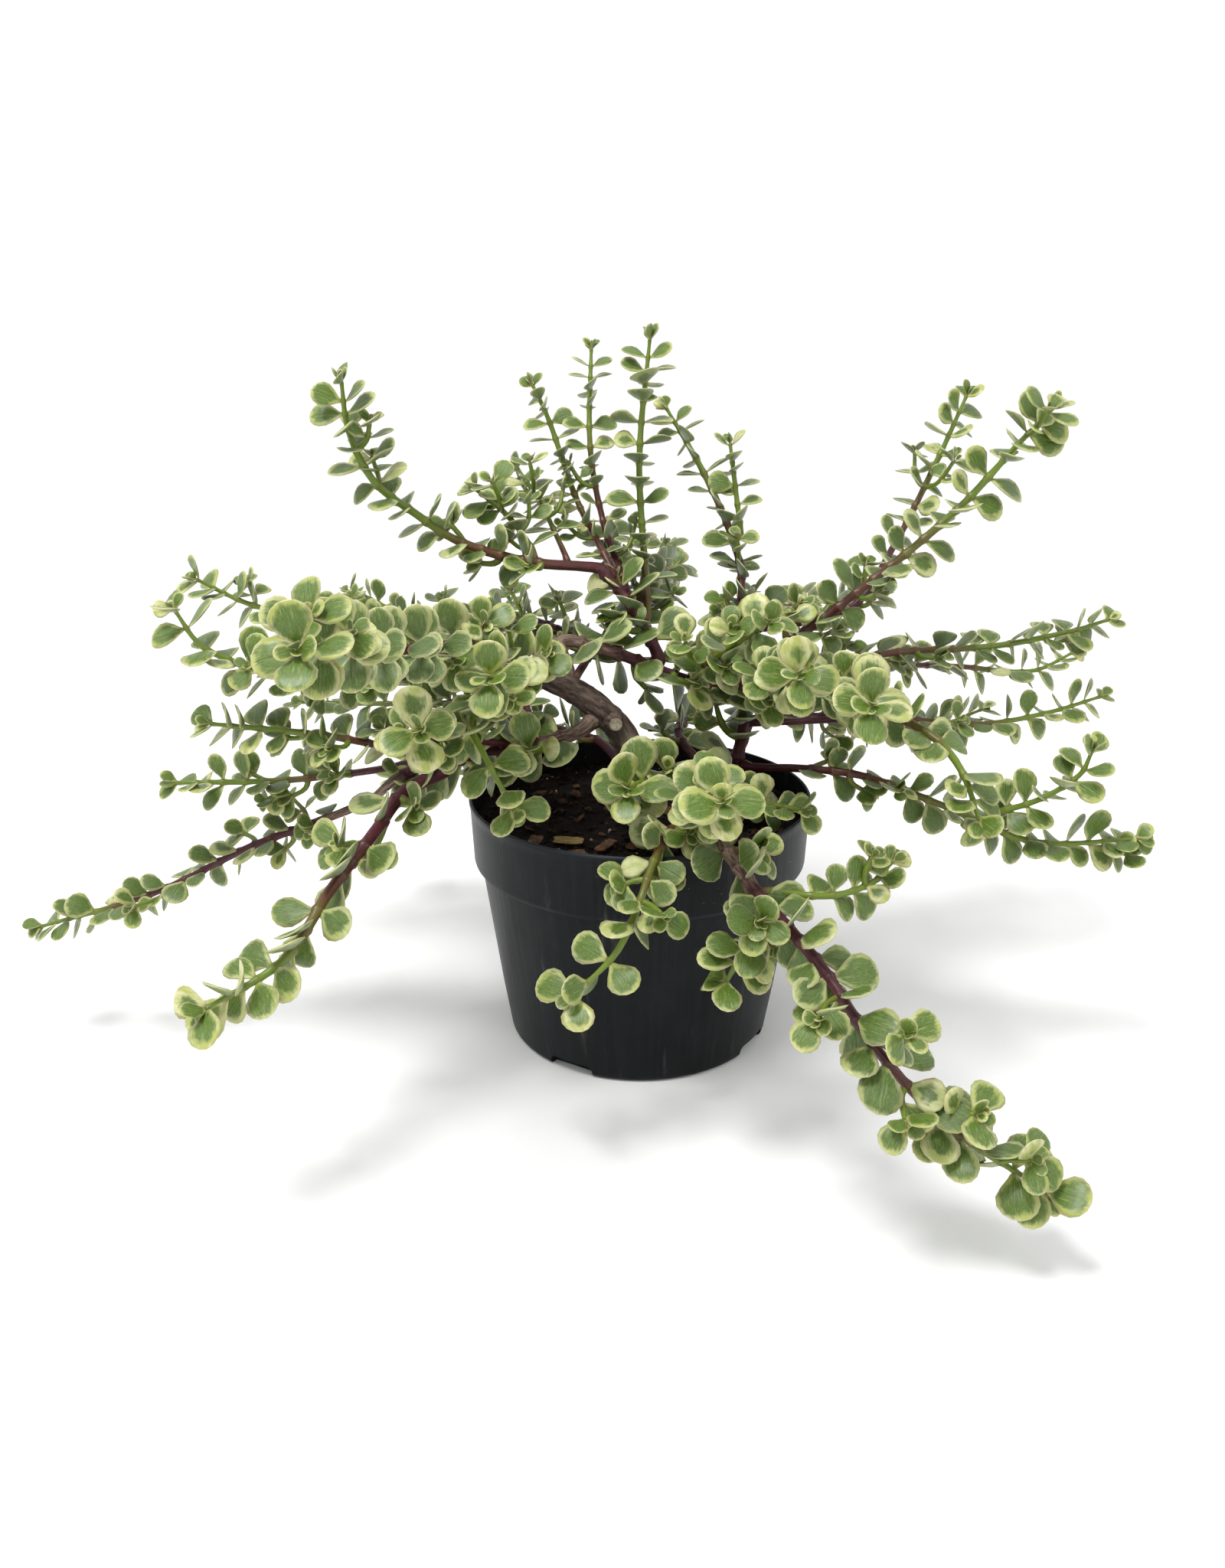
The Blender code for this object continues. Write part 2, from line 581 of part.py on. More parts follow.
class Stem:
    """A stem's plan: its route, its cross-sections, and what grows at each node."""

    def __init__(self, name, route, side, foot_radius, tip_radius):
        self.name = name
        self.route = route
        self.foot_radius = foot_radius
        self.tip_radius = tip_radius
        self.rings = [Ring(route.place(0), route.first_heading, side, foot_radius)]
        self.distances = [0]
        self.growth = {}

    def radius_at(self, distance):
        share = distance / self.route.length
        return self.foot_radius + (self.tip_radius - self.foot_radius) * share ** 0.8

    def add_ring(self, distance):
        place, heading = self.route.place(distance), self.route.heading(distance)
        self.rings.append(ring_after(self.rings[-1], place, heading, self.radius_at(distance)))
        self.distances.append(distance)

    def section(self, distance):
        """The stem's cross-section at a distance, as it is drawn, in straight bands."""
        distance = min(max(distance, 0), self.distances[-1])
        band = max(i for i in range(len(self.rings) - 1) if self.distances[i] <= distance)
        near, far = self.rings[band], self.rings[band + 1]
        share = (distance - self.distances[band]) / (self.distances[band + 1] - self.distances[band])
        heading = (far.place - near.place).normalized()
        radius = near.radius + (far.radius - near.radius) * share
        return Ring(near.place.lerp(far.place, share), heading, near.side.lerp(far.side, share), radius)

    def run_to(self, distance, done):
        """Cross-sections from one distance to another, no more than WOOD_STEP apart."""
        steps = max(1, math.ceil((distance - done) / WOOD_STEP - 0.25))
        for step in range(1, steps + 1):
            self.add_ring(done + (distance - done) * step / steps)

    def middle_ring(self, band):
        near, far = self.rings[band], self.rings[band + 1]
        radius = (near.radius + far.radius) / 2
        return Ring(near.place.lerp(far.place, 0.5), far.heading, far.side, radius)


def node_distances(length, bare, internode):
    """Where the leaf pairs stand: evenly, and closer together towards the growing tip."""
    distances = []
    distance = length - TIP_MARGIN
    step = internode * TIP_INTERNODE
    while distance > bare:
        distances.append(distance)
        distance -= step
        step = min(internode, step * INTERNODE_GROWTH)
    return distances[::-1]


def spot(bearing, out, up):
    """A place by its bearing from the front, and its distances beyond and above the pot's rim, in mm."""
    angle = math.radians(bearing)
    radius = RIM_RADIUS + out * MM
    return Vector((radius * math.sin(angle), -radius * math.cos(angle), POT_HEIGHT + up * MM))


def seat(parent, fraction, towards, radius):
    """Where a stem starts on its parent, face to face across the gap, and the way it starts off."""
    if fraction == 1:
        end = parent.rings[-1]
        return end.place + end.heading * GAP, end.heading
    distance = parent.route.length * fraction
    here = parent.section(distance)
    across = towards - here.place
    across = (across - here.heading * across.dot(here.heading)).normalized()
    reach = 0
    for step in (-1, 0, 1):
        near = parent.section(distance + step * radius * math.sqrt(2))
        corner = abs(near.side.dot(across)) + abs(near.other.dot(across)) if parent.square else 1
        reach = max(reach, (near.place - here.place).dot(across) + near.radius * corner)
    return here.place + across * (reach + GAP), across


def plan_limb(name, placed):
    """The trunk, which is round and bare, or a limb, which has old leaves past its bare foot."""
    parent, fraction, foot, end, _, bare, points = LIMBS[name]
    points = [Vector((x * MM, y * MM, mix_level() + h * MM)) for x, y, h in points]
    if parent:
        start, heading = seat(placed[parent], fraction, points[0], foot * LIMB_RADIUS)
        points.insert(0, start)
    else:
        heading = Vector((0, 0, 1))
        points.insert(0, Vector((points[0].x, points[0].y, mix_level() - STEM_BURIED)))
    route = Route(points, heading)
    limb = Stem(name, route, level_side(heading), foot * LIMB_RADIUS, end * LIMB_RADIUS)
    limb.square = name != "trunk"
    if limb.square:
        add_nodes(limb, node_distances(route.length, bare * MM, INTERNODE), 0)
    else:
        limb.run_to(route.length, 0)
    return limb


def add_nodes(stem, distances, spur_every):
    """Cross-sections up to each node and through it, and what may grow there."""
    done = 0
    for index, distance in enumerate(distances):
        stem.run_to(distance - NODE_HEIGHT / 2, done)
        done = distance + NODE_HEIGHT / 2
        stem.growth[len(stem.rings) - 1] = index
        stem.add_ring(done)
    stem.spur_every = spur_every


def lifted_shoot(name, placed, lift):
    """A shoot's stem with its nodes, its route raised by so many mm past its foot."""
    parent, fraction, thick, _, bare, spurs, _, points = SHOOTS[name]
    points = [spot(bearing, out, up + lift) for bearing, out, up in points]
    radius = thick * STEM_RADIUS
    start, heading = seat(placed[parent], fraction, points[0], radius)
    route = Route([start, start + heading * 2 * radius, *points], heading)
    shoot = Stem(name, route, level_side(heading), radius, TIP_RADIUS)
    shoot.square = True
    add_nodes(shoot, node_distances(route.length, bare * MM, INTERNODE), spurs)
    return shoot


def plan_shoot(name, placed, crowd):
    """A shoot's stem, clear of the stems before it, and before any leaf has been found its place."""
    for lift in STEM_LIFTS:
        shoot = lifted_shoot(name, placed, lift)
        bands = zip(shoot.rings, shoot.rings[1:])
        boxes = [box_between(near, far, STEM_CLEARANCE) for near, far in bands]
        parent = SHOOTS[name][0]
        if not any(crowd.blocked(box, BOX_FACES, lambda owner: owner != parent) for box in boxes):
            break
    return shoot


def leaf_angle(age, opened):
    """How far a leaf leans from its stem: nearly closed at the tip, wide when old or in a rosette."""
    return min(34 + 17 * age, 66) + opened * max(26 - 7 * age, 0)


def leaf_size(age, opened):
    """A leaf's share of full size, smaller near the tip unless the tip has opened into a rosette."""
    young = (0.52, 0.78, 0.95)[min(age, 2)]
    return young + opened * (0.96 - young)


def plan_spur(stem, band, quarter, draw):
    """A short side shoot out of one side of a node, which ends in a rosette of four leaves."""
    ring = stem.middle_ring(band)
    outward = ring.direction(quarter)
    heading = (ring.heading * 0.62 + outward * 0.72 + Vector((0, 0, 0.25))).normalized()
    start = ring.place + outward * ring.radius
    length = SPUR_LENGTH * draw.uniform(0.8, 1.2)
    route = Route([start, start + (outward + heading) * length * 0.22, start + heading * length], outward)
    spur = Stem(stem.name, route, ring.heading, ring.radius * 0.8, TIP_RADIUS)
    spur.add_ring(route.length - NODE_HEIGHT)
    spur.growth[1] = 0
    spur.add_ring(route.length)
    return spur


def leaf_choices(ring, quarter, angle, length, draw):
    """The leaf as wished, then its turned and shortened forms, in order of preference."""
    length = length * draw.uniform(0.9, 1.1)
    angle = angle + draw.uniform(-6, 6)
    roll = draw.uniform(-16, 16)
    for turn, shorter in LEAF_TRIES:
        yield leaf_from(ring, quarter, angle + turn, length * shorter, roll)


def free_leaf(choices, crowd, name, half_start):
    """The first form of a leaf that touches nothing, or None. Stalks of one stem may meet at its node."""

    def strange(owner):
        return owner.split()[0] != name and not owner.endswith(" blade")

    def own(owner):
        return owner in (name, name + " blade")

    for leaf in choices:
        whole = leaf.blocks(0.06, half_start, LEAF_CLEARANCE)
        blade = leaf.blocks(BLADE_START, half_start, LEAF_CLEARANCE)
        if min(point.z for block in whole for point in block) < 0:
            continue
        if any(crowd.blocked(block, BOX_FACES, strange) for block in whole):
            continue
        if any(crowd.blocked(block, BOX_FACES, own) for block in blade):
            continue
        for block in leaf.blocks(0.06, half_start, 0):
            crowd.add(block, BOX_FACES, name + " leaf")
        for block in leaf.blocks(BLADE_START, half_start, 0):
            crowd.add(block, BOX_FACES, name + " blade")
        return leaf
    return None


def spur_is_free(spur, crowd):
    """Whether a spur's end touches nothing, and the rest of it nothing of another shoot."""

    def strange(owner):
        return owner.split()[0] != spur.name

    if crowd.blocked(box_between(*spur.rings[:2], 0), BOX_FACES, strange):
        return False
    return not crowd.blocked(box_between(*spur.rings[1:], LEAF_CLEARANCE), BOX_FACES, lambda owner: True)


def leaf_out(stem, crowd, size, opened, draw, spurred):
    """Finds a place for each leaf and spur of a stem. Pairs stand crosswise to their neighbours."""
    plan = {}
    count = len(stem.growth)
    for band, index in stem.growth.items():
        age = count - 1 - index
        ring = stem.middle_ring(band)
        quarters = (index % 2, index % 2 + 2) if spurred is not None else range(4)
        for quarter in quarters:
            if spurred and age > 1 and (index + quarter) % stem.spur_every == 2:
                spur = plan_spur(stem, band, quarter, draw)
                if spur_is_free(spur, crowd):
                    crowd.add(box_between(*spur.rings[:2], 0), BOX_FACES, stem.name + " spur")
                    crowd.add(box_between(*spur.rings[1:], 0), BOX_FACES, stem.name)
                    leaves = leaf_out(spur, crowd, size * SPUR_LEAF, max(opened, 0.75), draw, None)
                    plan[band, quarter] = (spur, leaves)
                    continue
            length = LEAF_LENGTH * size * leaf_size(age, opened)
            choices = leaf_choices(ring, quarter, leaf_angle(age, opened), length, draw)
            leaf = free_leaf(choices, crowd, stem.name, ring.radius)
            if leaf:
                plan[band, quarter] = leaf
    return plan


# ---------------------------------------------------------------- drawing the plan


def settle(face, ring, sides, reach, way=1):
    """Moves a section's corners on to the ring, in order round it."""
    corners = list(face.verts)
    middle = face.calc_center_median()
    first = corners[0].co - middle
    angle = math.atan2(first.dot(ring.other), first.dot(ring.side))
    pitch = math.tau / sides
    angle = (round(angle / pitch - 0.5) + 0.5) * pitch
    for index, vert in enumerate(corners):
        turn = angle + way * index * pitch
        vert.co = ring.place + (ring.side * math.cos(turn) + ring.other * math.sin(turn)) * reach


def extruded(bm, face):
    return bmesh.ops.extrude_discrete_faces(bm, faces=[face])["faces"][0]


def draw_leaf(bm, side, leaf):
    """Draws a leaf out of a side of the stem, and closes it to a thin end."""
    first = side.verts[0].co - side.calc_center_median()
    quarter = math.floor(math.atan2(first.dot(leaf.upper), first.dot(leaf.across)) / (math.pi / 2))
    for share, half, thick in leaf.sections():
        side = extruded(bm, side)
        target = leaf.foot + leaf.direction * leaf.length * share
        for index, vert in enumerate(side.verts):
            wide, high = ((1, 1), (-1, 1), (-1, -1), (1, -1))[(quarter + index) % 4]
            vert.co = target + leaf.across * half * wide + leaf.upper * thick * high
    bmesh.ops.remove_doubles(bm, verts=list(side.verts), dist=0.001 * MM)


def grow(bm, top, stem, leaves, sides=4):
    """Draws a stem on from a face through its cross-sections, with its leaves and spurs."""
    corner = math.sqrt(2) if sides == 4 else 1
    for band, ring in enumerate(stem.rings[1:]):
        bases = set(top.edges)
        top = extruded(bm, top)
        settle(top, ring, sides, ring.radius * corner)
        if band not in stem.growth:
            continue
        middle = stem.middle_ring(band)
        around = {face for edge in top.edges for face in edge.link_faces} - {top}
        for (grown_band, quarter), grown in leaves.items():
            if grown_band != band:
                continue
            outward = middle.direction(quarter)
            side = max(around, key=lambda f: (f.calc_center_median() - middle.place).dot(outward))
            around.discard(side)
            if isinstance(grown, Leaf):
                draw_leaf(bm, side, grown)
            else:
                grow(bm, side, grown[0], grown[1])
    return top


def begin(bm, ring, sides, reach):
    """A thin starting slice, whose far face the stem is drawn from."""
    made = bmesh.ops.create_cone(bm, cap_ends=True, segments=sides, radius1=reach, radius2=reach,
                                 depth=SLICE)
    verts = set(made["verts"])
    own = [f for f in bm.faces if len(f.verts) == sides and set(f.verts) <= verts]
    caps = [f for f in own if abs(f.normal.z) > 0.9]
    low, high = sorted(caps, key=lambda f: f.calc_center_median().z)
    ahead = Ring(ring.place + ring.heading * SLICE, ring.heading, ring.side, ring.radius)
    settle(high, ahead, sides, reach)
    settle(low, ring, sides, reach, way=-1)
    return high


def make_trunk(trunk):
    bm = bmesh.new()
    top = begin(bm, trunk.rings[0], TRUNK_SIDES, trunk.rings[0].radius)
    grow(bm, top, trunk, {}, TRUNK_SIDES)
    bm.normal_update()
    add_stub(bm, trunk)
    return put_in_scene(bm, "trunk", "bark")


def add_stub(bm, limb):
    """The sawn-off branch on the trunk's front, drawn out of one of its sides."""
    faces = [f for f in bm.faces if len(f.verts) == 4]
    aim = limb.route.place(limb.route.length * 0.62)

    def fitness(face):
        middle = face.calc_center_median()
        return -2 * middle.y - (middle - aim).length

    front = max(faces, key=fitness)
    start = front.calc_center_median()
    normal = front.normal.copy()
    for share in (0.35, 1):
        front = extruded(bm, front)
        middle = front.calc_center_median()
        for vert in front.verts:
            offset = (vert.co - middle).normalized()
            vert.co = start + normal * STUB_LENGTH * share + offset * STUB_RADIUS


def make_shoot(stem, leaves):
    bm = bmesh.new()
    ring = stem.rings[0]
    top = begin(bm, ring, 4, ring.radius * math.sqrt(2))
    grow(bm, top, stem, leaves)
    piece = put_in_scene(bm, stem.name, "leaf")
    piece.data.materials.append(finish("stem_skin"))
    return piece


def block_mesh(crowd, piece, owner):
    """Adds a finished piece, as its modifiers leave it, to what leaves keep clear of."""
    graph = bpy.context.evaluated_depsgraph_get()
    graph.update()
    mesh = piece.evaluated_get(graph).to_mesh()
    crowd.add([v.co for v in mesh.vertices], [tuple(p.vertices) for p in mesh.polygons], owner)


def main():
    for old in list(bpy.data.objects):
        bpy.data.objects.remove(old, do_unlink=True)
    placed = {}
    crowd = Crowd()
    for name in LIMBS:
        placed[name] = plan_limb(name, placed)
        for a, b in zip(placed[name].rings, placed[name].rings[1:]):
            crowd.add(box_between(a, b, 0), BOX_FACES, name)
    block_mesh(crowd, make_pot(), "pot")
    block_mesh(crowd, make_mix([placed["trunk"], placed["second_stem"]]), "potting_mix")
    for name in CHIPS:
        block_mesh(crowd, make_chip(name), name)
    make_trunk(placed["trunk"])
    for name in SHOOTS:
        placed[name] = plan_shoot(name, placed, crowd)
        for a, b in zip(placed[name].rings, placed[name].rings[1:]):
            crowd.add(box_between(a, b, 0), BOX_FACES, name)
    for name in SHOOTS:
        size, spurs, opened = SHOOTS[name][3], SHOOTS[name][5], SHOOTS[name][6]
        leaves = leaf_out(placed[name], crowd, size, opened, random.Random(name), spurs > 0)
        make_shoot(placed[name], leaves)
    for name in list(LIMBS)[1:]:
        leaves = leaf_out(placed[name], crowd, LIMBS[name][4], 0.5, random.Random(name), False)
        make_shoot(placed[name], leaves)


main()
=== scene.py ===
"""The looks of a variegated dwarf jade in a round nursery pot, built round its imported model.

Metres, +Z up, the pot's underside at the origin and the plant's front towards -Y. The stems are planned
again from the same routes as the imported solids, and each leaf takes the form that its solid has.
"""

import math
import random
from itertools import product

import bmesh
import bpy
from mathutils import Matrix, Vector, noise
from mathutils.kdtree import KDTree


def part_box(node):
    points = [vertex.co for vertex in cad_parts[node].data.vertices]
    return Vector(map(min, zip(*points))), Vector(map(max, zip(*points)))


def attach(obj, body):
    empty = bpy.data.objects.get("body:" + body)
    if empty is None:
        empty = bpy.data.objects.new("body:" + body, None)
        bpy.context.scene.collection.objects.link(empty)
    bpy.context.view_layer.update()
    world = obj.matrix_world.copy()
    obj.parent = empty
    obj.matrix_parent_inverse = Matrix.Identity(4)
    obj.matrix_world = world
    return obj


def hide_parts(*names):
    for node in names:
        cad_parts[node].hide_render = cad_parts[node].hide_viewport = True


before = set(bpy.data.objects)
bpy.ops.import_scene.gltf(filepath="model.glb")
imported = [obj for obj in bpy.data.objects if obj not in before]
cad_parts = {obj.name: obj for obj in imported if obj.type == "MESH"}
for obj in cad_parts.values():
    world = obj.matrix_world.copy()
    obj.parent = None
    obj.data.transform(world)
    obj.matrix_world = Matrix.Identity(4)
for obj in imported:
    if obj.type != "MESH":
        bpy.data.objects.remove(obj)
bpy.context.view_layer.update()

MM = 0.001

# The pot and what it holds.
RIM_RADIUS = 77.5 * MM
POT_HEIGHT = 115 * MM
COLLAR_DEPTH = 29.5 * MM
COLLAR_TAPER = 1.6 * MM
COLLAR_STEP = 3.0 * MM
COLLAR_EDGE = 1.2 * MM
BASE_RADIUS = 61 * MM
BASE_FILLET = 3.0 * MM
POT_WALL = 1.4 * MM
POT_FLOOR = 1.8 * MM
NOTCH_COUNT = 4
NOTCH_BEARING = -31
NOTCH_WIDTH = 22 * MM
NOTCH_HEIGHT = 5.5 * MM
NOTCH_REACH = 6 * MM
GAP = 0.3 * MM
SOIL_DROP = 11 * MM
STEM_BURIED = 25 * MM

# Wood, stems and leaves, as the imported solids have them.
LIMB_RADIUS = 3.4 * MM
STEM_RADIUS = 1.35 * MM
TIP_RADIUS = 0.7 * MM
WOOD_STEP = 15 * MM
LEAF_LENGTH = 14.5 * MM
LEAF_BREADTH = 0.76
END_BREADTH = 0.5
INTERNODE = 18 * MM
TIP_INTERNODE = 0.42
INTERNODE_GROWTH = 1.5
NODE_HEIGHT = 1.9 * MM
TIP_MARGIN = 2.0 * MM
SPUR_LENGTH = 9 * MM
SPUR_LEAF = 0.84
LIGHT_SLANT = 0.6
LIGHT_TURN = 0.75
LIGHT_FLATTEN = 0.5

# The forms that a leaf may have taken to stand free: a turn in degrees and a share of its length.
LEAF_TRIES = (
    (0, 1), (-13, 1), (13, 1), (0, 0.86), (-22, 0.86), (20, 0.86), (0, 0.72), (-28, 0.72), (26, 0.72),
)

# Limbs: parent, fraction of its length, thickness against LIMB_RADIUS at foot and end, leaf size against
# the usual, bare length in mm, then places in mm as (x, y, height above the potting mix).
LIMBS = {
    "trunk": (None, 0, 2.05, 1.5, 0, 0,
        ((0, 0, 6), (-2, -1, 20), (-9, 0, 40), (-26, 0, 56), (-50, 2, 68))),
    "second_stem": (None, 0, 1.0, 0.7, 1.25, 42,
        ((44, 20, 6), (48, 20, 33), (50, 23, 54), (48, 27, 76))),
    "low_left_limb": ("trunk", 0.68, 1.0, 0.7, 1.3, 12,
        ((-46, -11, 37), (-72, -20, 35), (-95, -28, 33), (-104, -32, 29))),
    "high_left_limb": ("trunk", 1, 1.1, 0.7, 1.2, 8, ((-63, 0, 72), (-79, -5, 76), (-90, -8, 79))),
    "right_limb": ("trunk", 0.86, 0.9, 0.6, 1.3, 10,
        ((-36, 11, 78), (-14, 14, 73), (15, 13, 62), (33, 11, 58), (62, 8, 53))),
    "upper_limb": ("right_limb", 0.52, 0.8, 0.6, 1.2, 6, ((3, 25, 78), (-7, 30, 94), (-16, 34, 104))),
    "front_limb": ("second_stem", 0.32, 0.8, 0.7, 1.4, 6, ((39, -5, 14), (34, -22, 16), (30, -45, 17))),
}

# Shoots: parent, fraction, stem and leaf sizes against the usual, bare length in mm, spur spacing in
# nodes (0 for none), how far the tip is opened into a rosette (0 to 1), and the route in mm past the
# foot, as (bearing from the front in degrees, out beyond the pot's rim, up above the pot's rim).
SHOOTS = {
    "shoot_long_upper_left": ("upper_limb", 1, 1.5, 1.0, 22, 7, 0.2,
        ((-117, -22, 100), (-104, 5, 110), (-99, 22, 123),
         (-95, 37, 137), (-92, 45, 158), (-90, 46, 180))),
    "shoot_top_left": ("upper_limb", 0.94, 1.0, 0.8, 10, 0, 0,
        ((-157, -3, 121), (-152, 13, 157), (-149, 21, 174))),
    "shoot_top_centre": ("upper_limb", 0.72, 1.0, 0.78, 8, 0, 0,
        ((-166, -11, 109), (-163, 1, 145), (-166, 15, 190))),
    "shoot_top_tall": ("upper_limb", 0.45, 1.1, 1.0, 12, 0, 0,
        ((177, -24, 92), (-180, -17, 141), (176, -12, 195))),
    "shoot_top_right": ("second_stem", 0.93, 1.25, 0.9, 14, 7, 0,
        ((134, -10, 76), (142, -1, 96), (156, 4, 129), (172, 13, 163))),
    "shoot_top_right_side": ("shoot_top_right", 0.45, 0.8, 0.85, 4, 0, 0.3,
        ((146, 6, 120), (150, 8, 148))),
    "shoot_top_left_short": ("shoot_long_upper_left", 0.12, 0.8, 0.85, 8, 0, 0.2,
        ((-142, -4, 120), (-140, 12, 137))),
    "shoot_upper_left_bush": ("shoot_long_upper_left", 0.22, 0.8, 0.95, 4, 5, 0.7,
        ((-122, -8, 118), (-114, 4, 132))),
    "shoot_upper_right": ("second_stem", 1, 1.2, 0.95, 24, 7, 0.2,
        ((112, 28, 76), (115, 55, 103), (115, 76, 141), (115, 90, 170))),
    "shoot_far_upper_right": ("right_limb", 0.86, 1.4, 1.05, 26, 7, 0.3,
        ((97, -4, 72), (93, 20, 93), (90, 56, 127), (88, 77, 154), (87, 90, 170))),
    "shoot_right_high": ("right_limb", 0.92, 1.2, 0.95, 30, 7, 0.2,
        ((104, 38, 57), (102, 92, 59), (100, 126, 66), (99, 143, 72))),
    "shoot_right_back": ("second_stem", 0.8, 1.0, 0.9, 26, 7, 0,
        ((112, 49, 46), (113, 92, 41), (111, 134, 36), (110, 156, 45))),
    "shoot_right_mid": ("second_stem", 0.62, 1.0, 0.9, 30, 0, 0.1,
        ((100, 40, 28), (99, 84, 24), (99, 117, 28), (99, 144, 35))),
    "shoot_right_low": ("second_stem", 0.42, 1.2, 1.0, 26, 5, 0.1,
        ((92, -5, 10), (84, 22, 11), (79, 56, 3), (78, 96, -10), (78, 139, -5))),
    "shoot_right_fork": ("shoot_right_low", 0.62, 0.8, 1.0, 4, 0, 0.3,
        ((75, 94, 12), (75, 110, 25), (75, 114, 37))),
    "shoot_right_drooping": ("right_limb", 1, 1.5, 1.1, 14, 7, 0.6,
        ((80, 8, 52), (67, 50, 43), (65, 64, 32), (61, 76, 14))),
    "shoot_right_rosette": ("shoot_right_drooping", 0.25, 1.0, 1.0, 12, 5, 1,
        ((52, 32, 66), (28, 81, 82))),
    "shoot_front_right_rosette": ("right_limb", 0.78, 1.0, 1.0, 18, 5, 1, ((50, -5, 64), (25, 49, 86))),
    "shoot_crown_right": ("right_limb", 0.66, 1.0, 1.0, 8, 5, 0.8, ((60, -38, 70), (52, -12, 88))),
    "shoot_over_mix": ("trunk", 0.42, 1.0, 1.2, 8, 5, 0.9, ((5, -48, 17), (-6, -17, 23))),
    "shoot_rim_stub": ("front_limb", 0.45, 0.9, 0.9, 6, 0, 0.6, ((62, -20, 5), (58, 4, 7))),
    "shoot_front_trailing": ("front_limb", 1, 1.7, 1.15, 26, 5, 0.9,
        ((22, 3, 7), (22, 42, -3), (24, 75, -15), (26, 106, -36), (31, 126, -60), (38, 150, -83))),
    "shoot_front_side": ("shoot_front_trailing", 0.3, 0.9, 0.9, 8, 0, 0.1,
        ((33, 50, -3), (41, 56, 0), (44, 60, 9))),
    "shoot_front_hanging": ("shoot_front_trailing", 0.36, 0.9, 1.1, 4, 0, 1,
        ((18, 46, -20), (14, 46, -34))),
    "shoot_front_centre": ("front_limb", 0.72, 1.3, 1.05, 26, 5, 0.9,
        ((8, -8, 6), (2, 12, 2), (-2, 26, -12), (-6, 34, -26), (-14, 42, -42))),
    "shoot_front_rosette": ("front_limb", 0.88, 1.1, 1.05, 24, 5, 1, ((20, -10, 20), (11, 60, 46))),
    "shoot_left_near": ("high_left_limb", 0.62, 1.3, 0.98, 30, 5, 1,
        ((-56, 8, 84), (-42, 38, 89), (-32, 90, 102), (-23, 167, 123))),
    "shoot_left_high": ("high_left_limb", 0.92, 1.2, 1.05, 26, 5, 0.7,
        ((-71, 17, 64), (-70, 67, 66), (-71, 104, 81), (-72, 115, 98))),
    "shoot_left_back": ("high_left_limb", 0.76, 1.1, 0.95, 22, 5, 0.5,
        ((-97, 8, 66), (-99, 57, 72), (-100, 102, 79), (-98, 126, 92))),
    "shoot_left_mid": ("low_left_limb", 0.6, 1.1, 0.95, 26, 5, 0.4,
        ((-72, 6, 31), (-69, 35, 35), (-69, 63, 43), (-71, 107, 51))),
    "shoot_left_low": ("low_left_limb", 0.9, 1.0, 0.9, 26, 5, 0.2,
        ((-79, 40, 18), (-80, 80, 15), (-79, 125, 18))),
    "shoot_far_left": ("low_left_limb", 1, 1.2, 0.9, 24, 5, 0.2,
        ((-77, 45, 5), (-82, 96, -17), (-83, 142, -39), (-85, 196, -57))),
    "shoot_left_trailing": ("low_left_limb", 0.78, 1.9, 1.15, 30, 5, 0.9,
        ((-64, 32, 18), (-53, 55, 13), (-46, 87, 2), (-43, 114, -13), (-44, 145, -22))),
    "shoot_back_left_upright": ("high_left_limb", 0.45, 0.9, 0.85, 10, 7, 0,
        ((-112, 4, 66), (-117, 43, 67), (-119, 80, 76))),
    "shoot_left_rim": ("high_left_limb", 0.35, 1.1, 1.1, 30, 0, 0.7,
        ((-66, -8, 58), (-51, 12, 50), (-43, 14, 38), (-34, 14, 19))),
    "shoot_crown_front": ("high_left_limb", 0.24, 1.0, 1.05, 10, 5, 1, ((-60, -18, 66), (-33, 30, 78))),
    "shoot_left_front_rosette": ("low_left_limb", 0.45, 1.0, 1.0, 12, 5, 1,
        ((-62, 10, 38), (-48, 40, 52), (-35, 64, 66))),
    "shoot_back_left_high": ("trunk", 0.82, 1.2, 1.0, 16, 0, 0.4,
        ((-150, -28, 56), (-145, 20, 62), (-143, 85, 45))),
    "shoot_back_high": ("right_limb", 0.36, 1.2, 1.0, 14, 0, 0.4,
        ((180, -22, 72), (173, 30, 80), (172, 92, 70))),
    "shoot_back_right_high": ("second_stem", 0.86, 1.2, 1.0, 14, 0, 0.4,
        ((140, -8, 66), (145, 50, 62), (148, 112, 50))),
    "shoot_back_trailing": ("second_stem", 0.3, 1.4, 1.05, 22, 5, 0.8,
        ((158, -22, 8), (164, 12, 8), (168, 48, -20), (170, 68, -58))),
    "shoot_back_left_trailing": ("trunk", 0.36, 1.4, 1.05, 26, 5, 0.8,
        ((-155, -28, 10), (-142, 14, 8), (-136, 60, -14), (-132, 100, -38))),
    "shoot_back_right_low": ("second_stem", 0.5, 1.1, 1.0, 26, 0, 0.3,
        ((126, -8, 22), (122, 40, 16), (120, 92, 2), (118, 128, 10))),
    "shoot_back_left_low": ("low_left_limb", 0.3, 1.1, 1.0, 20, 0, 0.3,
        ((-115, -16, 34), (-116, 40, 26), (-112, 104, 22))),
    "shoot_back_crown": ("upper_limb", 0.35, 1.1, 1.0, 10, 5, 0.7, ((-178, -22, 84), (-172, 20, 102))),
}


# ---------------------------------------------------------------- shader maths


def tint(text):
    """A colour written as six hex digits, as the linear numbers that shaders take."""
    shares = [int(text[i:i + 2], 16) / 255 for i in (0, 2, 4)]
    linear = [s / 12.92 if s <= 0.04045 else ((s + 0.055) / 1.055) ** 2.4 for s in shares]
    return (*linear, 1)


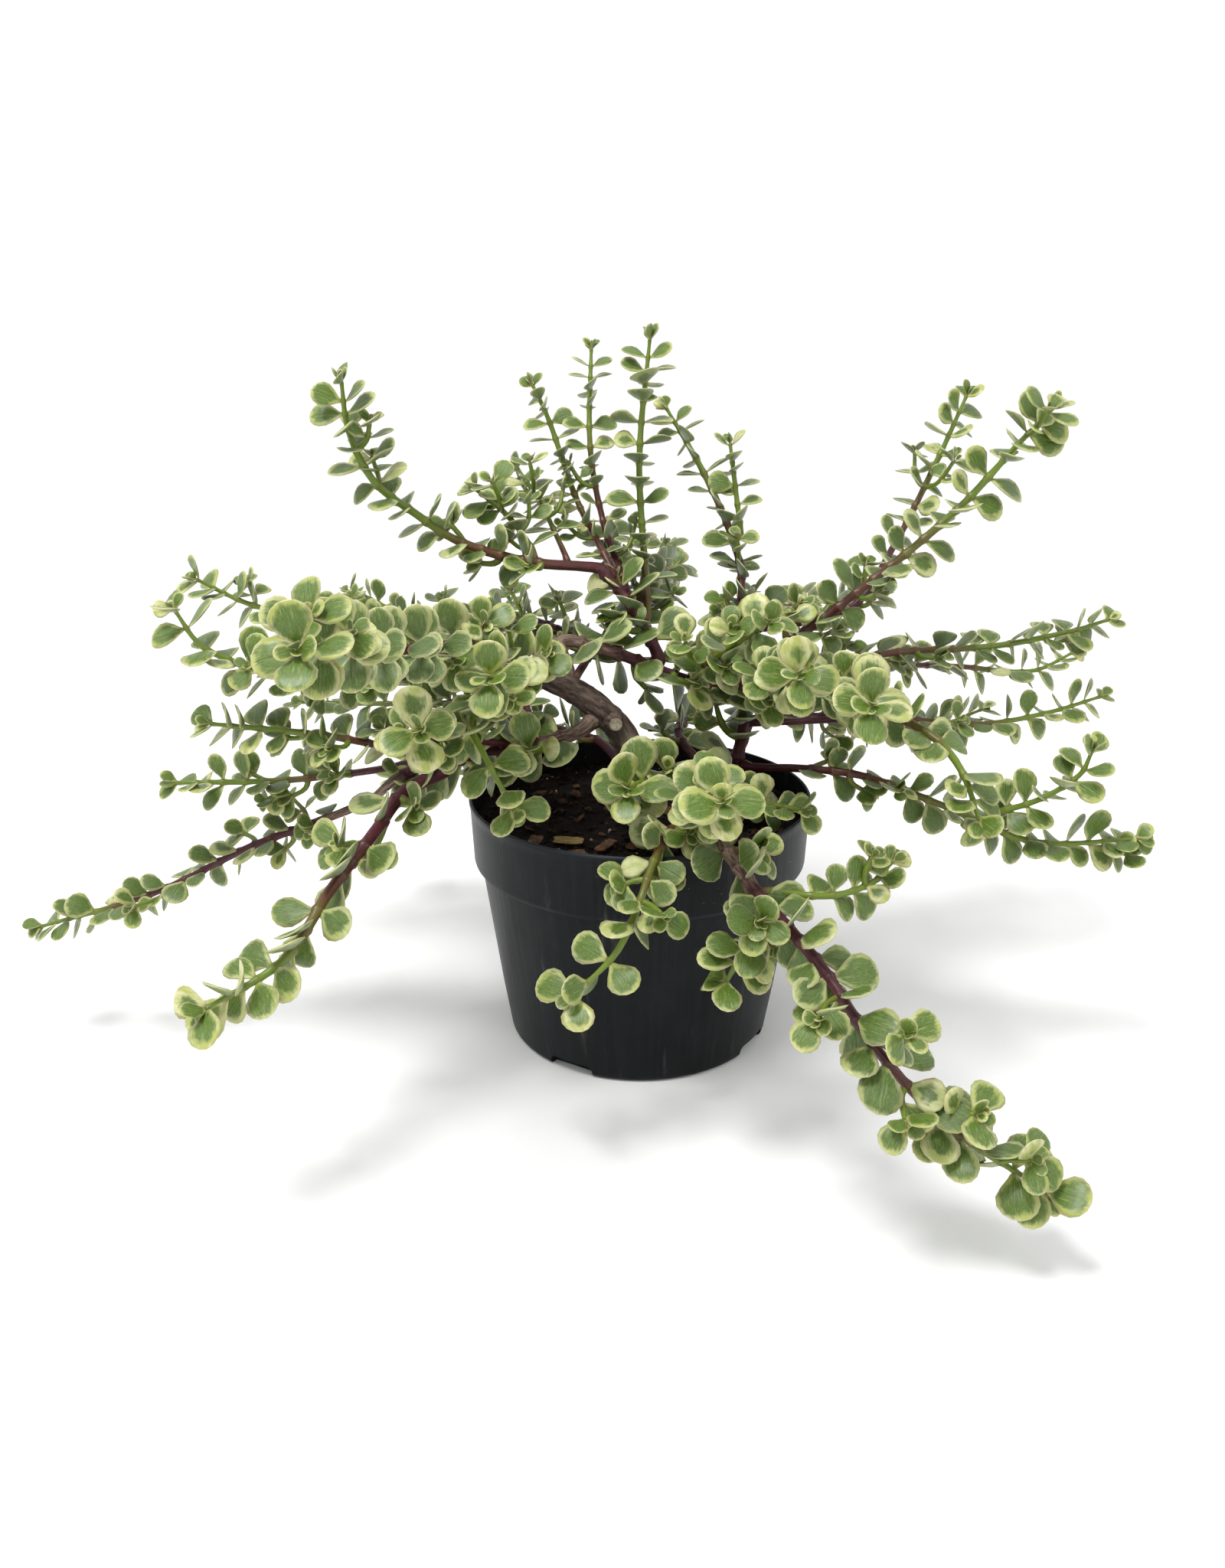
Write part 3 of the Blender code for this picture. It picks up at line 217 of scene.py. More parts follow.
def arithmetic(operation, flipped=False):
    """A method that works one number out of others, in their order or flipped."""

    def method(self, *others):
        terms = (*others, self) if flipped else (self, *others)
        return self.finish.value("ShaderNodeMath", {"operation": operation}, dict(enumerate(terms)))

    return method


class Value:
    """A number that changes over a surface. Arithmetic on it adds the nodes that work it out."""

    __add__, __radd__ = arithmetic("ADD"), arithmetic("ADD", True)
    __sub__, __rsub__ = arithmetic("SUBTRACT"), arithmetic("SUBTRACT", True)
    __mul__, __rmul__ = arithmetic("MULTIPLY"), arithmetic("MULTIPLY", True)
    __truediv__, __pow__, __abs__ = arithmetic("DIVIDE"), arithmetic("POWER"), arithmetic("ABSOLUTE")
    least, most = arithmetic("MINIMUM"), arithmetic("MAXIMUM")

    def __init__(self, finish, socket):
        self.finish = finish
        self.socket = socket

    def rise(self, low, high):
        """0 below low, 1 above high, and smooth in between. With low above high it falls."""
        settings = {"interpolation_type": "SMOOTHSTEP"}
        sockets = {"Value": self, "From Min": low, "From Max": high}
        return self.finish.value("ShaderNodeMapRange", settings, sockets)


class Finish:
    """A material in the making: its nodes, and the shader they feed."""

    def __init__(self, name, fixed):
        self.material = bpy.data.materials.new(name)
        self.material.use_nodes = True
        self.tree = self.material.node_tree
        self.shader = self.tree.nodes["Principled BSDF"]
        self.feed(self.shader, fixed)

    def feed(self, node, sockets):
        for key, wanted in sockets.items():
            if isinstance(wanted, Value):
                wanted = wanted.socket
            if isinstance(wanted, bpy.types.NodeSocket):
                self.tree.links.new(wanted, node.inputs[key])
            else:
                node.inputs[key].default_value = wanted

    def node(self, kind, settings, sockets):
        """A node of any kind: its settings first, then the values or links of its sockets."""
        made = self.tree.nodes.new(kind)
        for key, setting in settings.items():
            setattr(made, key, setting)
        self.feed(made, sockets)
        return made

    def value(self, kind, settings, sockets):
        return Value(self, self.node(kind, settings, sockets).outputs[0])

    def object_place(self):
        return self.node("ShaderNodeTexCoord", {}, {}).outputs["Object"]

    def kept(self, name):
        """A vector kept on the piece's points under that name."""
        return self.node("ShaderNodeAttribute", {"attribute_name": name}, {}).outputs["Vector"]

    def parts(self, vector):
        made = self.node("ShaderNodeSeparateXYZ", {}, {0: vector})
        return [Value(self, socket) for socket in made.outputs]

    def joined(self, x, y, z):
        return self.node("ShaderNodeCombineXYZ", {}, {0: x, 1: y, 2: z}).outputs[0]

    def noise(self, where, scale, detail=2.0, rough=0.5, distortion=0.0):
        sockets = {"Vector": where, "Scale": scale, "Detail": detail, "Roughness": rough,
                   "Distortion": distortion}
        return self.value("ShaderNodeTexNoise", {}, sockets)

    def cells(self, where, scale):
        return self.value("ShaderNodeTexVoronoi", {}, {"Vector": where, "Scale": scale})

    def mix(self, share, near, far):
        """The near colour where the share is 0, and the far one where it is 1."""
        made = self.node("ShaderNodeMix", {"data_type": "RGBA"}, {0: share, 6: near, 7: far})
        return made.outputs[2]

    def relief(self, height, depth, strength=1.0):
        """Small relief from a height of 0 to 1 that stands for that many metres."""
        sockets = {"Height": height, "Distance": depth, "Strength": strength}
        self.feed(self.shader, {"Normal": self.node("ShaderNodeBump", {}, sockets).outputs[0]})

    def colour(self, socket):
        self.feed(self.shader, {"Base Color": socket})


# ---------------------------------------------------------------- finishes


def leaf_finish():
    """Waxy leaves, green along the middle and cream to the edge, greyer when old, and greyer underneath as
    painted shade.
    """
    finish = Finish("jade_leaf", {"Specular IOR Level": 0.42, "Coat Roughness": 0.22,
                                  "Subsurface Weight": 0.12, "Subsurface Scale": 0.002})
    across, along, inset = finish.parts(finish.kept("blade"))
    cream, old, seed = finish.parts(finish.kept("growth"))
    upper, folded, _ = finish.parts(finish.kept("turn"))
    streak = finish.noise(finish.joined(across * 5, along * 1.1 + seed * 37, seed * 91), 2.6, 4, 0.6)
    patch = finish.noise(finish.joined(across * 1.4, along * 1.2, seed * 57), 1.7, 2)
    edge = inset + (streak - 0.5) * 0.42 + (patch - 0.5) * 0.75
    green = edge.rise(cream - 0.09, cream + 0.24)
    fine = finish.noise(finish.joined(across * 9, along * 2.4, seed * 23), 5.5, 3, 0.65)
    fresh = finish.mix(fine.rise(0.3, 0.72), tint("3a5611"), tint("68812d"))
    aged = finish.mix(fine.rise(0.3, 0.7), tint("344b1f"), tint("5f7337"))
    leafy = finish.mix(old, fresh, aged)
    pale_streak = (streak.rise(0.5, 0.72) * 0.6 * (1 - old * 0.6)).least(1)
    leafy = finish.mix(pale_streak, leafy, tint("96a45c"))
    creamy = finish.mix(patch.rise(0.35, 0.68), tint("a4ac58"), tint("cfcd98"))
    creamy = finish.mix(old * 0.55, creamy, tint("9ca57a"))
    above = finish.mix(green, creamy, leafy)
    # Painted shade: the underside is a greyer, duller copy of the leaf's cream and green, for the side
    # turned away from the light.
    below = finish.mix(green * 0.8, finish.mix(old, tint("a3aa74"), tint("8f9a71")),
                       finish.mix(old, tint("607643"), tint("5b6e4d")))
    face = finish.mix(upper.rise(-0.25, 0.2), below, above)
    rim = inset.rise(0.1, 0.02) * 0.5
    face = finish.mix(rim, face, tint("d2cfa0"))
    foot = along.rise(0.13, 0.02) * 0.6
    finish.colour(finish.mix(foot, face, tint("8f8a4a")))
    vein = across.rise(-0.1, 0.0) * across.rise(0.1, 0.0)
    pores = finish.noise(finish.object_place(), 2600, 2)
    finish.relief(fine * 0.5 + pores * 0.4 - vein * folded * 0.9, 0.0003, 0.65)
    finish.feed(finish.shader, {"Roughness": 0.38 + (fine - 0.5) * 0.2 + old * 0.08,
                                "Coat Weight": (1 - old * 0.7) * 0.2})
    return finish.material


def stem_finish():
    """Living stems: olive at the tip, orange brown behind it, then burgundy, and grey brown when woody."""
    finish = Finish("stem_skin", {"Specular IOR Level": 0.45})
    straight = finish.kept("straight")
    age, joint, seed = finish.parts(finish.kept("growth"))
    x, y, along = finish.parts(straight)
    grain = finish.noise(finish.joined(x * 900, y * 900, along * 130 + seed * 40), 1.0, 3, 0.6)
    patch = finish.noise(finish.joined(x * 160, y * 160, along * 60 + seed * 71), 1.0, 2)
    years = age + (patch - 0.5) * 0.22 + (grain - 0.5) * 0.1
    young = finish.mix(years.rise(0.16, 0.36), tint("64791f"), tint("57351d"))
    red = finish.mix(grain.rise(0.35, 0.7), tint("350d15"), tint("531a25"))
    skin = finish.mix(years.rise(0.3, 0.56), young, red)
    wood = finish.mix(grain.rise(0.35, 0.65), tint("45322a"), tint("8b7565"))
    skin = finish.mix(years.rise(1.02, 1.3), skin, wood)
    skin = finish.mix(joint * 0.55, skin, finish.mix(age.rise(0.2, 0.8), tint("6a5a30"), tint("2f1414")))
    freckle = finish.cells(finish.object_place(), 900).rise(0.22, 0.1) * grain.rise(0.5, 0.62) * 0.5
    finish.colour(finish.mix(freckle, skin, tint("b08a6a")))
    finish.relief(grain * 0.7 + patch * 0.3, 0.00035, 0.8)
    finish.feed(finish.shader, {"Roughness": 0.38 + age.rise(0.5, 1.2) * 0.35 + (grain - 0.5) * 0.2})
    return finish.material


def bark_finish():
    """Old bark: grey brown, fissured along the trunk, with pale lichen and darker cracks."""
    finish = Finish("trunk_bark", {"Specular IOR Level": 0.25})
    straight = finish.kept("straight")
    ridge, scar, _ = finish.parts(finish.kept("growth"))
    x, y, along = finish.parts(straight)
    grain = finish.noise(finish.joined(x * 500, y * 500, along * 130), 1.0, 5, 0.65, 0.4)
    coarse = finish.noise(finish.joined(x * 150, y * 150, along * 50), 1.0, 3, 0.6)
    pale = finish.noise(finish.object_place(), 190, 3)
    skin = finish.mix(grain.rise(0.3, 0.7), tint("2b211c"), tint("6c5c51"))
    skin = finish.mix(ridge.rise(0.45, 0.1) * 0.75, skin, tint("1f1612"))
    skin = finish.mix(pale.rise(0.6, 0.75) * 0.6, skin, tint("8b8074"))
    skin = finish.mix(coarse.rise(0.62, 0.78) * 0.4, skin, tint("5e3a28"))
    rings = finish.noise(finish.object_place(), 1500, 2)
    sawn = finish.mix(rings.rise(0.35, 0.7), tint("8a7f6d"), tint("b3a892"))
    finish.colour(finish.mix(scar, skin, sawn))
    finish.relief(grain * 0.7 + coarse * 0.3, 0.0011, 0.9)
    finish.feed(finish.shader, {"Roughness": 0.78 + (grain - 0.5) * 0.25})
    return finish.material


def pot_finish():
    """Charcoal moulded plastic: fine drawn streaks down the wall, scuffs, and dust on the collar."""
    finish = Finish("pot_plastic", {"Specular IOR Level": 0.15})
    place = finish.object_place()
    x, y, z = finish.parts(place)
    radius = (x * x + y * y) ** 0.5
    round_x, round_y = x / radius, y / radius
    streak = finish.noise(finish.joined(round_x * 26, round_y * 26, z * 9), 1.0, 3, 0.6)
    fine = finish.noise(finish.joined(round_x * 140, round_y * 140, z * 22), 1.0, 2, 0.5)
    cloud = finish.noise(place, 34, 4, 0.6)
    plastic = finish.mix(streak.rise(0.3, 0.75), tint("090b0d"), tint("0f1316"))
    plastic = finish.mix(cloud.rise(0.5, 0.75) * 0.3, plastic, tint("1b2025"))
    edges = z.rise(POT_HEIGHT - 1.6 * MM, POT_HEIGHT - 0.3 * MM)
    collar_foot = POT_HEIGHT - COLLAR_DEPTH
    near_step = abs(z - collar_foot).rise(1.7 * MM, 0.2 * MM)
    worn = (edges.most(near_step) * cloud.rise(0.3, 0.6) * 0.4).least(1)
    plastic = finish.mix(worn, plastic, tint("3d464d"))
    speck = finish.cells(place, 420).rise(0.16, 0.06) * finish.noise(place, 60, 2).rise(0.55, 0.68)
    dusty = speck * z.rise(collar_foot - 20 * MM, POT_HEIGHT) * 0.75
    smear = finish.noise(finish.joined(round_x * 9, round_y * 9, z * 16), 1.0, 4, 0.7).rise(0.58, 0.8)
    dusty = (dusty + smear * 0.22).least(1)
    finish.colour(finish.mix(dusty, plastic, tint("8d8a80")))
    finish.relief(streak * 0.5 + fine * 0.3 + cloud * 0.2, 0.00028, 0.6)
    finish.feed(finish.shader, {"Roughness": 0.4 + (fine - 0.5) * 0.2 + dusty * 0.35})
    return finish.material


def ground_finish(name, dark, light, roughness):
    """Peat, bark crumbs or grit: each crumb its own shade between two colours."""
    finish = Finish(name, {"Specular IOR Level": 0.2, "Roughness": roughness})
    shade, _, _ = finish.parts(finish.kept("growth"))
    place = finish.object_place()
    grain = finish.noise(place, 900, 4, 0.7)
    clump = finish.noise(place, 220, 3, 0.6)
    mixed = finish.mix((shade * 0.75 + grain.rise(0.3, 0.7) * 0.35).least(1), tint(dark), tint(light))
    finish.colour(finish.mix(clump.rise(0.62, 0.3) * 0.5, mixed, tint("0b0807")))
    finish.relief(grain * 0.6 + clump * 0.4, 0.0009, 1.0)
    return finish.material


def chip_finish(name, dark, light):
    """A flake of bark or a dry leaf: fibres along it, with darker patches."""
    finish = Finish(name, {"Specular IOR Level": 0.25})
    x, y, along = finish.parts(finish.kept("straight"))
    fibre = finish.noise(finish.joined(x * 250, y * 1400, along * 900), 1.0, 4, 0.65)
    patch = finish.noise(finish.object_place(), 260, 3)
    face = finish.mix(fibre.rise(0.32, 0.68), tint(dark), tint(light))
    finish.colour(finish.mix(patch.rise(0.6, 0.3) * 0.45, face, tint("20130c")))
    finish.relief(fibre, 0.0007, 0.9)
    finish.feed(finish.shader, {"Roughness": 0.74 + (fibre - 0.5) * 0.2})
    return finish.material


# ---------------------------------------------------------------- pieces in general


def put(bm, name, material, slot, *nodes):
    """Finishes a piece: it rides on the part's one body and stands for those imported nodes."""
    mesh = bpy.data.meshes.new(name)
    bm.to_mesh(mesh)
    bm.free()
    mesh.shade_smooth()
    mesh.materials.append(material)
    piece = bpy.data.objects.new(name, mesh)
    bpy.context.scene.collection.objects.link(piece)
    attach(piece, "root")
    if nodes:
        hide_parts(*nodes)
    return piece


def new_bmesh(*names):
    """An empty bmesh with vectors of those names kept on its points."""
    bm = bmesh.new()
    return bm, [bm.verts.layers.float_vector.new(name) for name in names]


def settled(piece):
    """Makes a piece's modifiers part of its mesh."""
    graph = bpy.context.evaluated_depsgraph_get()
    graph.update()
    mesh = bpy.data.meshes.new_from_object(piece.evaluated_get(graph))
    piece.modifiers.clear()
    piece.data = mesh
    return piece


# ---------------------------------------------------------------- the plan of stems and leaves


def mix_level():
    return POT_HEIGHT - SOIL_DROP


def collar_foot_radius():
    return RIM_RADIUS - COLLAR_TAPER


def body_top_radius():
    return collar_foot_radius() - COLLAR_STEP


def outer_radius(height):
    """The pot's outside under the collar, at a height."""
    share = height / (POT_HEIGHT - COLLAR_DEPTH)
    return BASE_RADIUS + (body_top_radius() - BASE_RADIUS) * share


def inner_radius(height):
    """The pot's inside at a height, which widens at the collar as the outside does."""
    collar_foot = POT_HEIGHT - COLLAR_DEPTH
    if height < collar_foot:
        return outer_radius(height) - POT_WALL
    share = (height - collar_foot) / COLLAR_DEPTH
    return collar_foot_radius() + COLLAR_TAPER * share - POT_WALL


class Route:
    """A smooth curve through a list of places, which can be read at any distance along it."""

    SPAN_STEPS = 12

    def __init__(self, points, heading):
        self.places = []
        knots = [0.0]
        for near, far in zip(points, points[1:]):
            knots.append(knots[-1] + (far - near).length)
        slopes = [heading.normalized()]
        for i in range(1, len(points) - 1):
            slopes.append((points[i + 1] - points[i - 1]) / (knots[i + 1] - knots[i - 1]))
        slopes.append((points[-1] - points[-2]).normalized())
        for i in range(len(points) - 1):
            span = knots[i + 1] - knots[i]
            for step in range(self.SPAN_STEPS):
                t = step / self.SPAN_STEPS
                self.places.append(
                    points[i] * (1 + 2 * t) * (1 - t) ** 2
                    + slopes[i] * span * t * (1 - t) ** 2
                    + points[i + 1] * t * t * (3 - 2 * t)
                    + slopes[i + 1] * span * t * t * (t - 1)
                )
        self.places.append(points[-1].copy())
        self.run = [0.0]
        for near, far in zip(self.places, self.places[1:]):
            self.run.append(self.run[-1] + (far - near).length)
        self.length = self.run[-1]
        self.first_heading = heading.normalized()

    def place(self, distance):
        distance = min(max(distance, 0), self.length)
        for i in range(len(self.places) - 1):
            if distance <= self.run[i + 1]:
                share = (distance - self.run[i]) / (self.run[i + 1] - self.run[i])
                return self.places[i].lerp(self.places[i + 1], share)
        return self.places[-1].copy()

    def heading(self, distance):
        if distance < 0.5 * MM:
            return self.first_heading.copy()
        return (self.place(distance + MM) - self.place(distance - MM)).normalized()


class Ring:
    """A cross-section of a stem: its middle, the way it faces, a side direction and its radius."""

    def __init__(self, place, heading, side, radius):
        self.place = place
        self.heading = heading
        self.side = (side - heading * side.dot(heading)).normalized()
        self.radius = radius

    @property
    def other(self):
        return self.heading.cross(self.side)

    def direction(self, quarter):
        return (self.side, self.other, -self.side, -self.other)[quarter % 4]


def ring_after(ring, place, heading, radius):
    """The next cross-section, with its sides carried along without a twist."""
    side = ring.side.copy()
    side.rotate(ring.heading.rotation_difference(heading))
    return Ring(place, heading, side, radius)


def level_side(heading):
    """A side direction that lies level, or along X for an upright stem."""
    side = heading.cross(Vector((0, 0, 1)))
    return side.normalized() if side.length > 0.2 else Vector((1, 0, 0))


def light_at(place):
    """The way the light comes from: above, and from outside the plant's middle."""
    outward = Vector((place.x, place.y, 0))
    if outward.length > MM:
        outward.normalize()
    return (outward * LIGHT_SLANT + Vector((0, 0, 1))).normalized()


class Leaf:
    """A leaf: where it leaves the stem, its direction, its breadth direction and its length."""

    def __init__(self, foot, direction, across, length):
        self.foot = foot
        self.direction = direction
        self.across = (across - direction * across.dot(direction)).normalized()
        self.upper = direction.cross(self.across)
        self.length = length

    def tip_corners(self):
        """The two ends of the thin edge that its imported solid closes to."""
        tip = self.foot + self.direction * self.length
        half = self.across * self.length * LEAF_BREADTH / 2 * END_BREADTH
        return tip - half, tip + half


def leaf_from(ring, quarter, angle, length, roll):
    """A leaf from one side of a stem, leaning from the stem by an angle and turned to face the light."""
    outward = ring.direction(quarter)
    light = light_at(ring.place)
    lean = math.radians(angle)
    direction = ring.heading * math.cos(lean) + outward * math.sin(lean)
    direction = (direction - light * direction.dot(light) * LIGHT_FLATTEN * math.sin(lean)).normalized()
    natural = ring.heading.cross(outward)
    turned_to_light = light.cross(direction)
    if natural.dot(turned_to_light) < 0:
        natural.negate()
    across = natural * (1 - LIGHT_TURN) + turned_to_light * LIGHT_TURN
    across.rotate(Matrix.Rotation(math.radians(roll), 3, direction))
    return Leaf(ring.place + outward * ring.radius, direction, across, length)


class Stem:
    """A stem's plan: its route, its cross-sections, and what grows at each node."""

    def __init__(self, name, route, side, foot_radius, tip_radius):
        self.name = name
        self.route = route
        self.foot_radius = foot_radius
        self.tip_radius = tip_radius
        self.rings = [Ring(route.place(0), route.first_heading, side, foot_radius)]
        self.distances = [0]
        self.growth = {}

    def radius_at(self, distance):
        share = distance / self.route.length
        return self.foot_radius + (self.tip_radius - self.foot_radius) * share ** 0.8

    def add_ring(self, distance):
        place, heading = self.route.place(distance), self.route.heading(distance)
        self.rings.append(ring_after(self.rings[-1], place, heading, self.radius_at(distance)))
        self.distances.append(distance)

    def section(self, distance):
        """The stem's cross-section at a distance, as it is drawn, in straight bands."""
        distance = min(max(distance, 0), self.distances[-1])
        band = max(i for i in range(len(self.rings) - 1) if self.distances[i] <= distance)
        near, far = self.rings[band], self.rings[band + 1]
        share = (distance - self.distances[band]) / (self.distances[band + 1] - self.distances[band])
        heading = (far.place - near.place).normalized()
        radius = near.radius + (far.radius - near.radius) * share
        return Ring(near.place.lerp(far.place, share), heading, near.side.lerp(far.side, share), radius)

    def run_to(self, distance, done):
        """Cross-sections from one distance to another, no more than WOOD_STEP apart."""
        steps = max(1, math.ceil((distance - done) / WOOD_STEP - 0.25))
        for step in range(1, steps + 1):
            self.add_ring(done + (distance - done) * step / steps)

    def middle_ring(self, band):
        near, far = self.rings[band], self.rings[band + 1]
        radius = (near.radius + far.radius) / 2
        return Ring(near.place.lerp(far.place, 0.5), far.heading, far.side, radius)


def node_distances(length, bare, internode):
    """Where the leaf pairs stand: evenly, and closer together towards the growing tip."""
    distances = []
    distance = length - TIP_MARGIN
    step = internode * TIP_INTERNODE
    while distance > bare:
        distances.append(distance)
        distance -= step
        step = min(internode, step * INTERNODE_GROWTH)
    return distances[::-1]


def spot(bearing, out, up):
    """A place by its bearing from the front, and its distances beyond and above the pot's rim, in mm."""
    angle = math.radians(bearing)
    radius = RIM_RADIUS + out * MM
    return Vector((radius * math.sin(angle), -radius * math.cos(angle), POT_HEIGHT + up * MM))


def seat(parent, fraction, towards, radius):
    """Where a stem starts on its parent, face to face across the gap, and the way it starts off."""
    if fraction == 1:
        end = parent.rings[-1]
        return end.place + end.heading * GAP, end.heading
    distance = parent.route.length * fraction
    here = parent.section(distance)
    across = towards - here.place
    across = (across - here.heading * across.dot(here.heading)).normalized()
    reach = 0
    for step in (-1, 0, 1):
        near = parent.section(distance + step * radius * math.sqrt(2))
        corner = abs(near.side.dot(across)) + abs(near.other.dot(across)) if parent.square else 1
        reach = max(reach, (near.place - here.place).dot(across) + near.radius * corner)
    return here.place + across * (reach + GAP), across


def plan_limb(name, placed):
    """The trunk, which is round and bare, or a limb, which has old leaves past its bare foot."""
    parent, fraction, foot, end, _, bare, points = LIMBS[name]
    points = [Vector((x * MM, y * MM, mix_level() + h * MM)) for x, y, h in points]
    if parent:
        start, heading = seat(placed[parent], fraction, points[0], foot * LIMB_RADIUS)
        points.insert(0, start)
    else:
        heading = Vector((0, 0, 1))
        points.insert(0, Vector((points[0].x, points[0].y, mix_level() - STEM_BURIED)))
    route = Route(points, heading)
    limb = Stem(name, route, level_side(heading), foot * LIMB_RADIUS, end * LIMB_RADIUS)
    limb.square = name != "trunk"
    if limb.square:
        add_nodes(limb, node_distances(route.length, bare * MM, INTERNODE), 0)
    else:
        limb.run_to(route.length, 0)
    return limb


def add_nodes(stem, distances, spur_every):
    """Cross-sections up to each node and through it, and what may grow there."""
    done = 0
    for index, distance in enumerate(distances):
        stem.run_to(distance - NODE_HEIGHT / 2, done)
        done = distance + NODE_HEIGHT / 2
        stem.growth[len(stem.rings) - 1] = index
        stem.add_ring(done)
    stem.spur_every = spur_every


def plan_shoot(name, placed):
    """A shoot's stem with its nodes."""
    parent, fraction, thick, _, bare, spurs, _, points = SHOOTS[name]
    points = [spot(*point) for point in points]
    radius = thick * STEM_RADIUS
    start, heading = seat(placed[parent], fraction, points[0], radius)
    route = Route([start, start + heading * 2 * radius, *points], heading)
    shoot = Stem(name, route, level_side(heading), radius, TIP_RADIUS)
    shoot.square = True
    add_nodes(shoot, node_distances(route.length, bare * MM, INTERNODE), spurs)
    return shoot


def leaf_angle(age, opened):
    """How far a leaf leans from its stem: nearly closed at the tip, wide when old or in a rosette."""
    return min(34 + 17 * age, 66) + opened * max(26 - 7 * age, 0)


def leaf_size(age, opened):
    """A leaf's share of full size, smaller near the tip unless the tip has opened into a rosette."""
    young = (0.52, 0.78, 0.95)[min(age, 2)]
    return young + opened * (0.96 - young)


def plan_spur(stem, band, quarter, draw):
    """A short side shoot out of one side of a node, which ends in a rosette of four leaves."""
    ring = stem.middle_ring(band)
    outward = ring.direction(quarter)
    heading = (ring.heading * 0.62 + outward * 0.72 + Vector((0, 0, 0.25))).normalized()
    start = ring.place + outward * ring.radius
    length = SPUR_LENGTH * draw.uniform(0.8, 1.2)
    route = Route([start, start + (outward + heading) * length * 0.22, start + heading * length], outward)
    spur = Stem(stem.name, route, ring.heading, ring.radius * 0.8, TIP_RADIUS)
    spur.add_ring(route.length - NODE_HEIGHT)
    spur.growth[1] = 0
    spur.add_ring(route.length)
    return spur


def leaf_choices(ring, quarter, angle, length, draw):
    """The leaf as wished, then its turned and shortened forms, in order of preference."""
    length = length * draw.uniform(0.9, 1.1)
    angle = angle + draw.uniform(-6, 6)
    roll = draw.uniform(-16, 16)
    for turn, shorter in LEAF_TRIES:
        yield leaf_from(ring, quarter, angle + turn, length * shorter, roll)


class Solid:
    """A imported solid's corners, by which the form of a leaf or a spur is known."""

    REACH = 0.03 * MM

    def __init__(self, node):
        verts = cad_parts[node].data.vertices
        self.tree = KDTree(len(verts))
        for index, vert in enumerate(verts):
            self.tree.insert(vert.co, index)
        self.tree.balance()

    def has(self, *corners):
        return all(self.tree.find(corner)[2] < self.REACH for corner in corners)


def stem_corners(ring):
    for a, b in ((-1, -1), (1, -1), (1, 1), (-1, 1)):
        yield ring.place + (ring.side * a + ring.other * b) * ring.radius


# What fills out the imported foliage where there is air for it: small leaves and short twigs. A twig's
# heading is along its stem, outward and up.
LONG_GAP = 9 * MM
GAP_MIDDLE = (0.42, 0.58)
TWIG_LENGTH = 15 * MM
TWIG_HEADING = (0.5, 0.75, 0.35)
TWIG_CHANCE = 0.1
CROWN_TWIG_CHANCE = 0.7
LEAST_TWIG_LEAVES = 3
SMALL_LEAF_TURNS = (0, 16, -16, 30)
LEAF_SPOTS = (0.45, 0.8)
LOWEST_LEAF = 6 * MM

# Twigs stand thickest in the crown: round this middle, and out to this many of its half sizes.
CROWN = Vector((-48, 25, 175)) * MM
CROWN_HALF = Vector((70, 70, 35)) * MM
CROWN_REACH = 1.7

# Shoots with more twigs than the others. Past FRONT the other shoots miss half of the small leaves.
TWIGGY = {"shoot_long_upper_left": 0.25, "shoot_upper_left_bush": 0.7, "shoot_front_trailing": 0.4,
          "shoot_top_left_short": 0.6, "shoot_far_left": 0.3, "shoot_left_low": 0.3}
FRONT = -55 * MM
FRONT_MISSED = 0.5


class Air:
    """Where leaves already are, so that a small one can be added only in free air."""

    REACH = 4.2 * MM

    def __init__(self):
        self.taken = {}

    def cell(self, place):
        return tuple(math.floor(x / self.REACH) for x in place)

    def spots(self, leaf):
        return [leaf.foot + leaf.direction * leaf.length * share for share in LEAF_SPOTS]

    def add(self, leaf):
        for place in self.spots(leaf):
            self.taken.setdefault(self.cell(place), []).append(place)

    def free(self, leaf):
        for place in self.spots(leaf):
            for cell in product(*((x - 1, x, x + 1) for x in self.cell(place))):
                near = self.taken.get(cell, ())
                if any((other - place).length < self.REACH for other in near):
                    return False
        return place.z > LOWEST_LEAF


def crowded(place):
    """How thickly short twigs stand here: 1 in the crown's middle, and less away from it."""
    away = Vector([(a - b) / half for a, b, half in zip(place, CROWN, CROWN_HALF)])
    return max(0, min(1, CROWN_REACH - away.length))


def plan_twig(stem, ring, quarter, size, draw, air):
    """A short side twig with two nodes and what leaves have air on it, or None if few have."""
    outward = ring.direction(quarter)
    along, out, up = TWIG_HEADING
    heading = (ring.heading * along + outward * out + Vector((0, 0, up))).normalized()
    start = ring.place + outward * ring.radius * 0.5
    length = TWIG_LENGTH * draw.uniform(0.7, 1.35)
    route = Route([start, start + (outward + heading) * length * 0.22, start + heading * length], outward)
    twig = Stem(stem.name, route, ring.heading, max(ring.radius * 0.55, 1.1 * TIP_RADIUS), TIP_RADIUS)
    add_nodes(twig, (route.length * 0.5, route.length - 0.6 * NODE_HEIGHT), 0)
    twig.grown = []
    leaves = []
    for band, index in twig.growth.items():
        for side in (index % 2, index % 2 + 2):
            span = LEAF_LENGTH * size * (0.92 if index else 0.84) * draw.uniform(0.85, 1.05)
            angle = 62 + draw.uniform(-8, 12)
            leaf = leaf_from(twig.middle_ring(band), side, angle, span, draw.uniform(-20, 20))
            if air.free(leaf):
                leaves.append((leaf, 1 - index))
    if len(leaves) < LEAST_TWIG_LEAVES:
        return None
    for leaf, _ in leaves:
        air.add(leaf)
    return twig, leaves


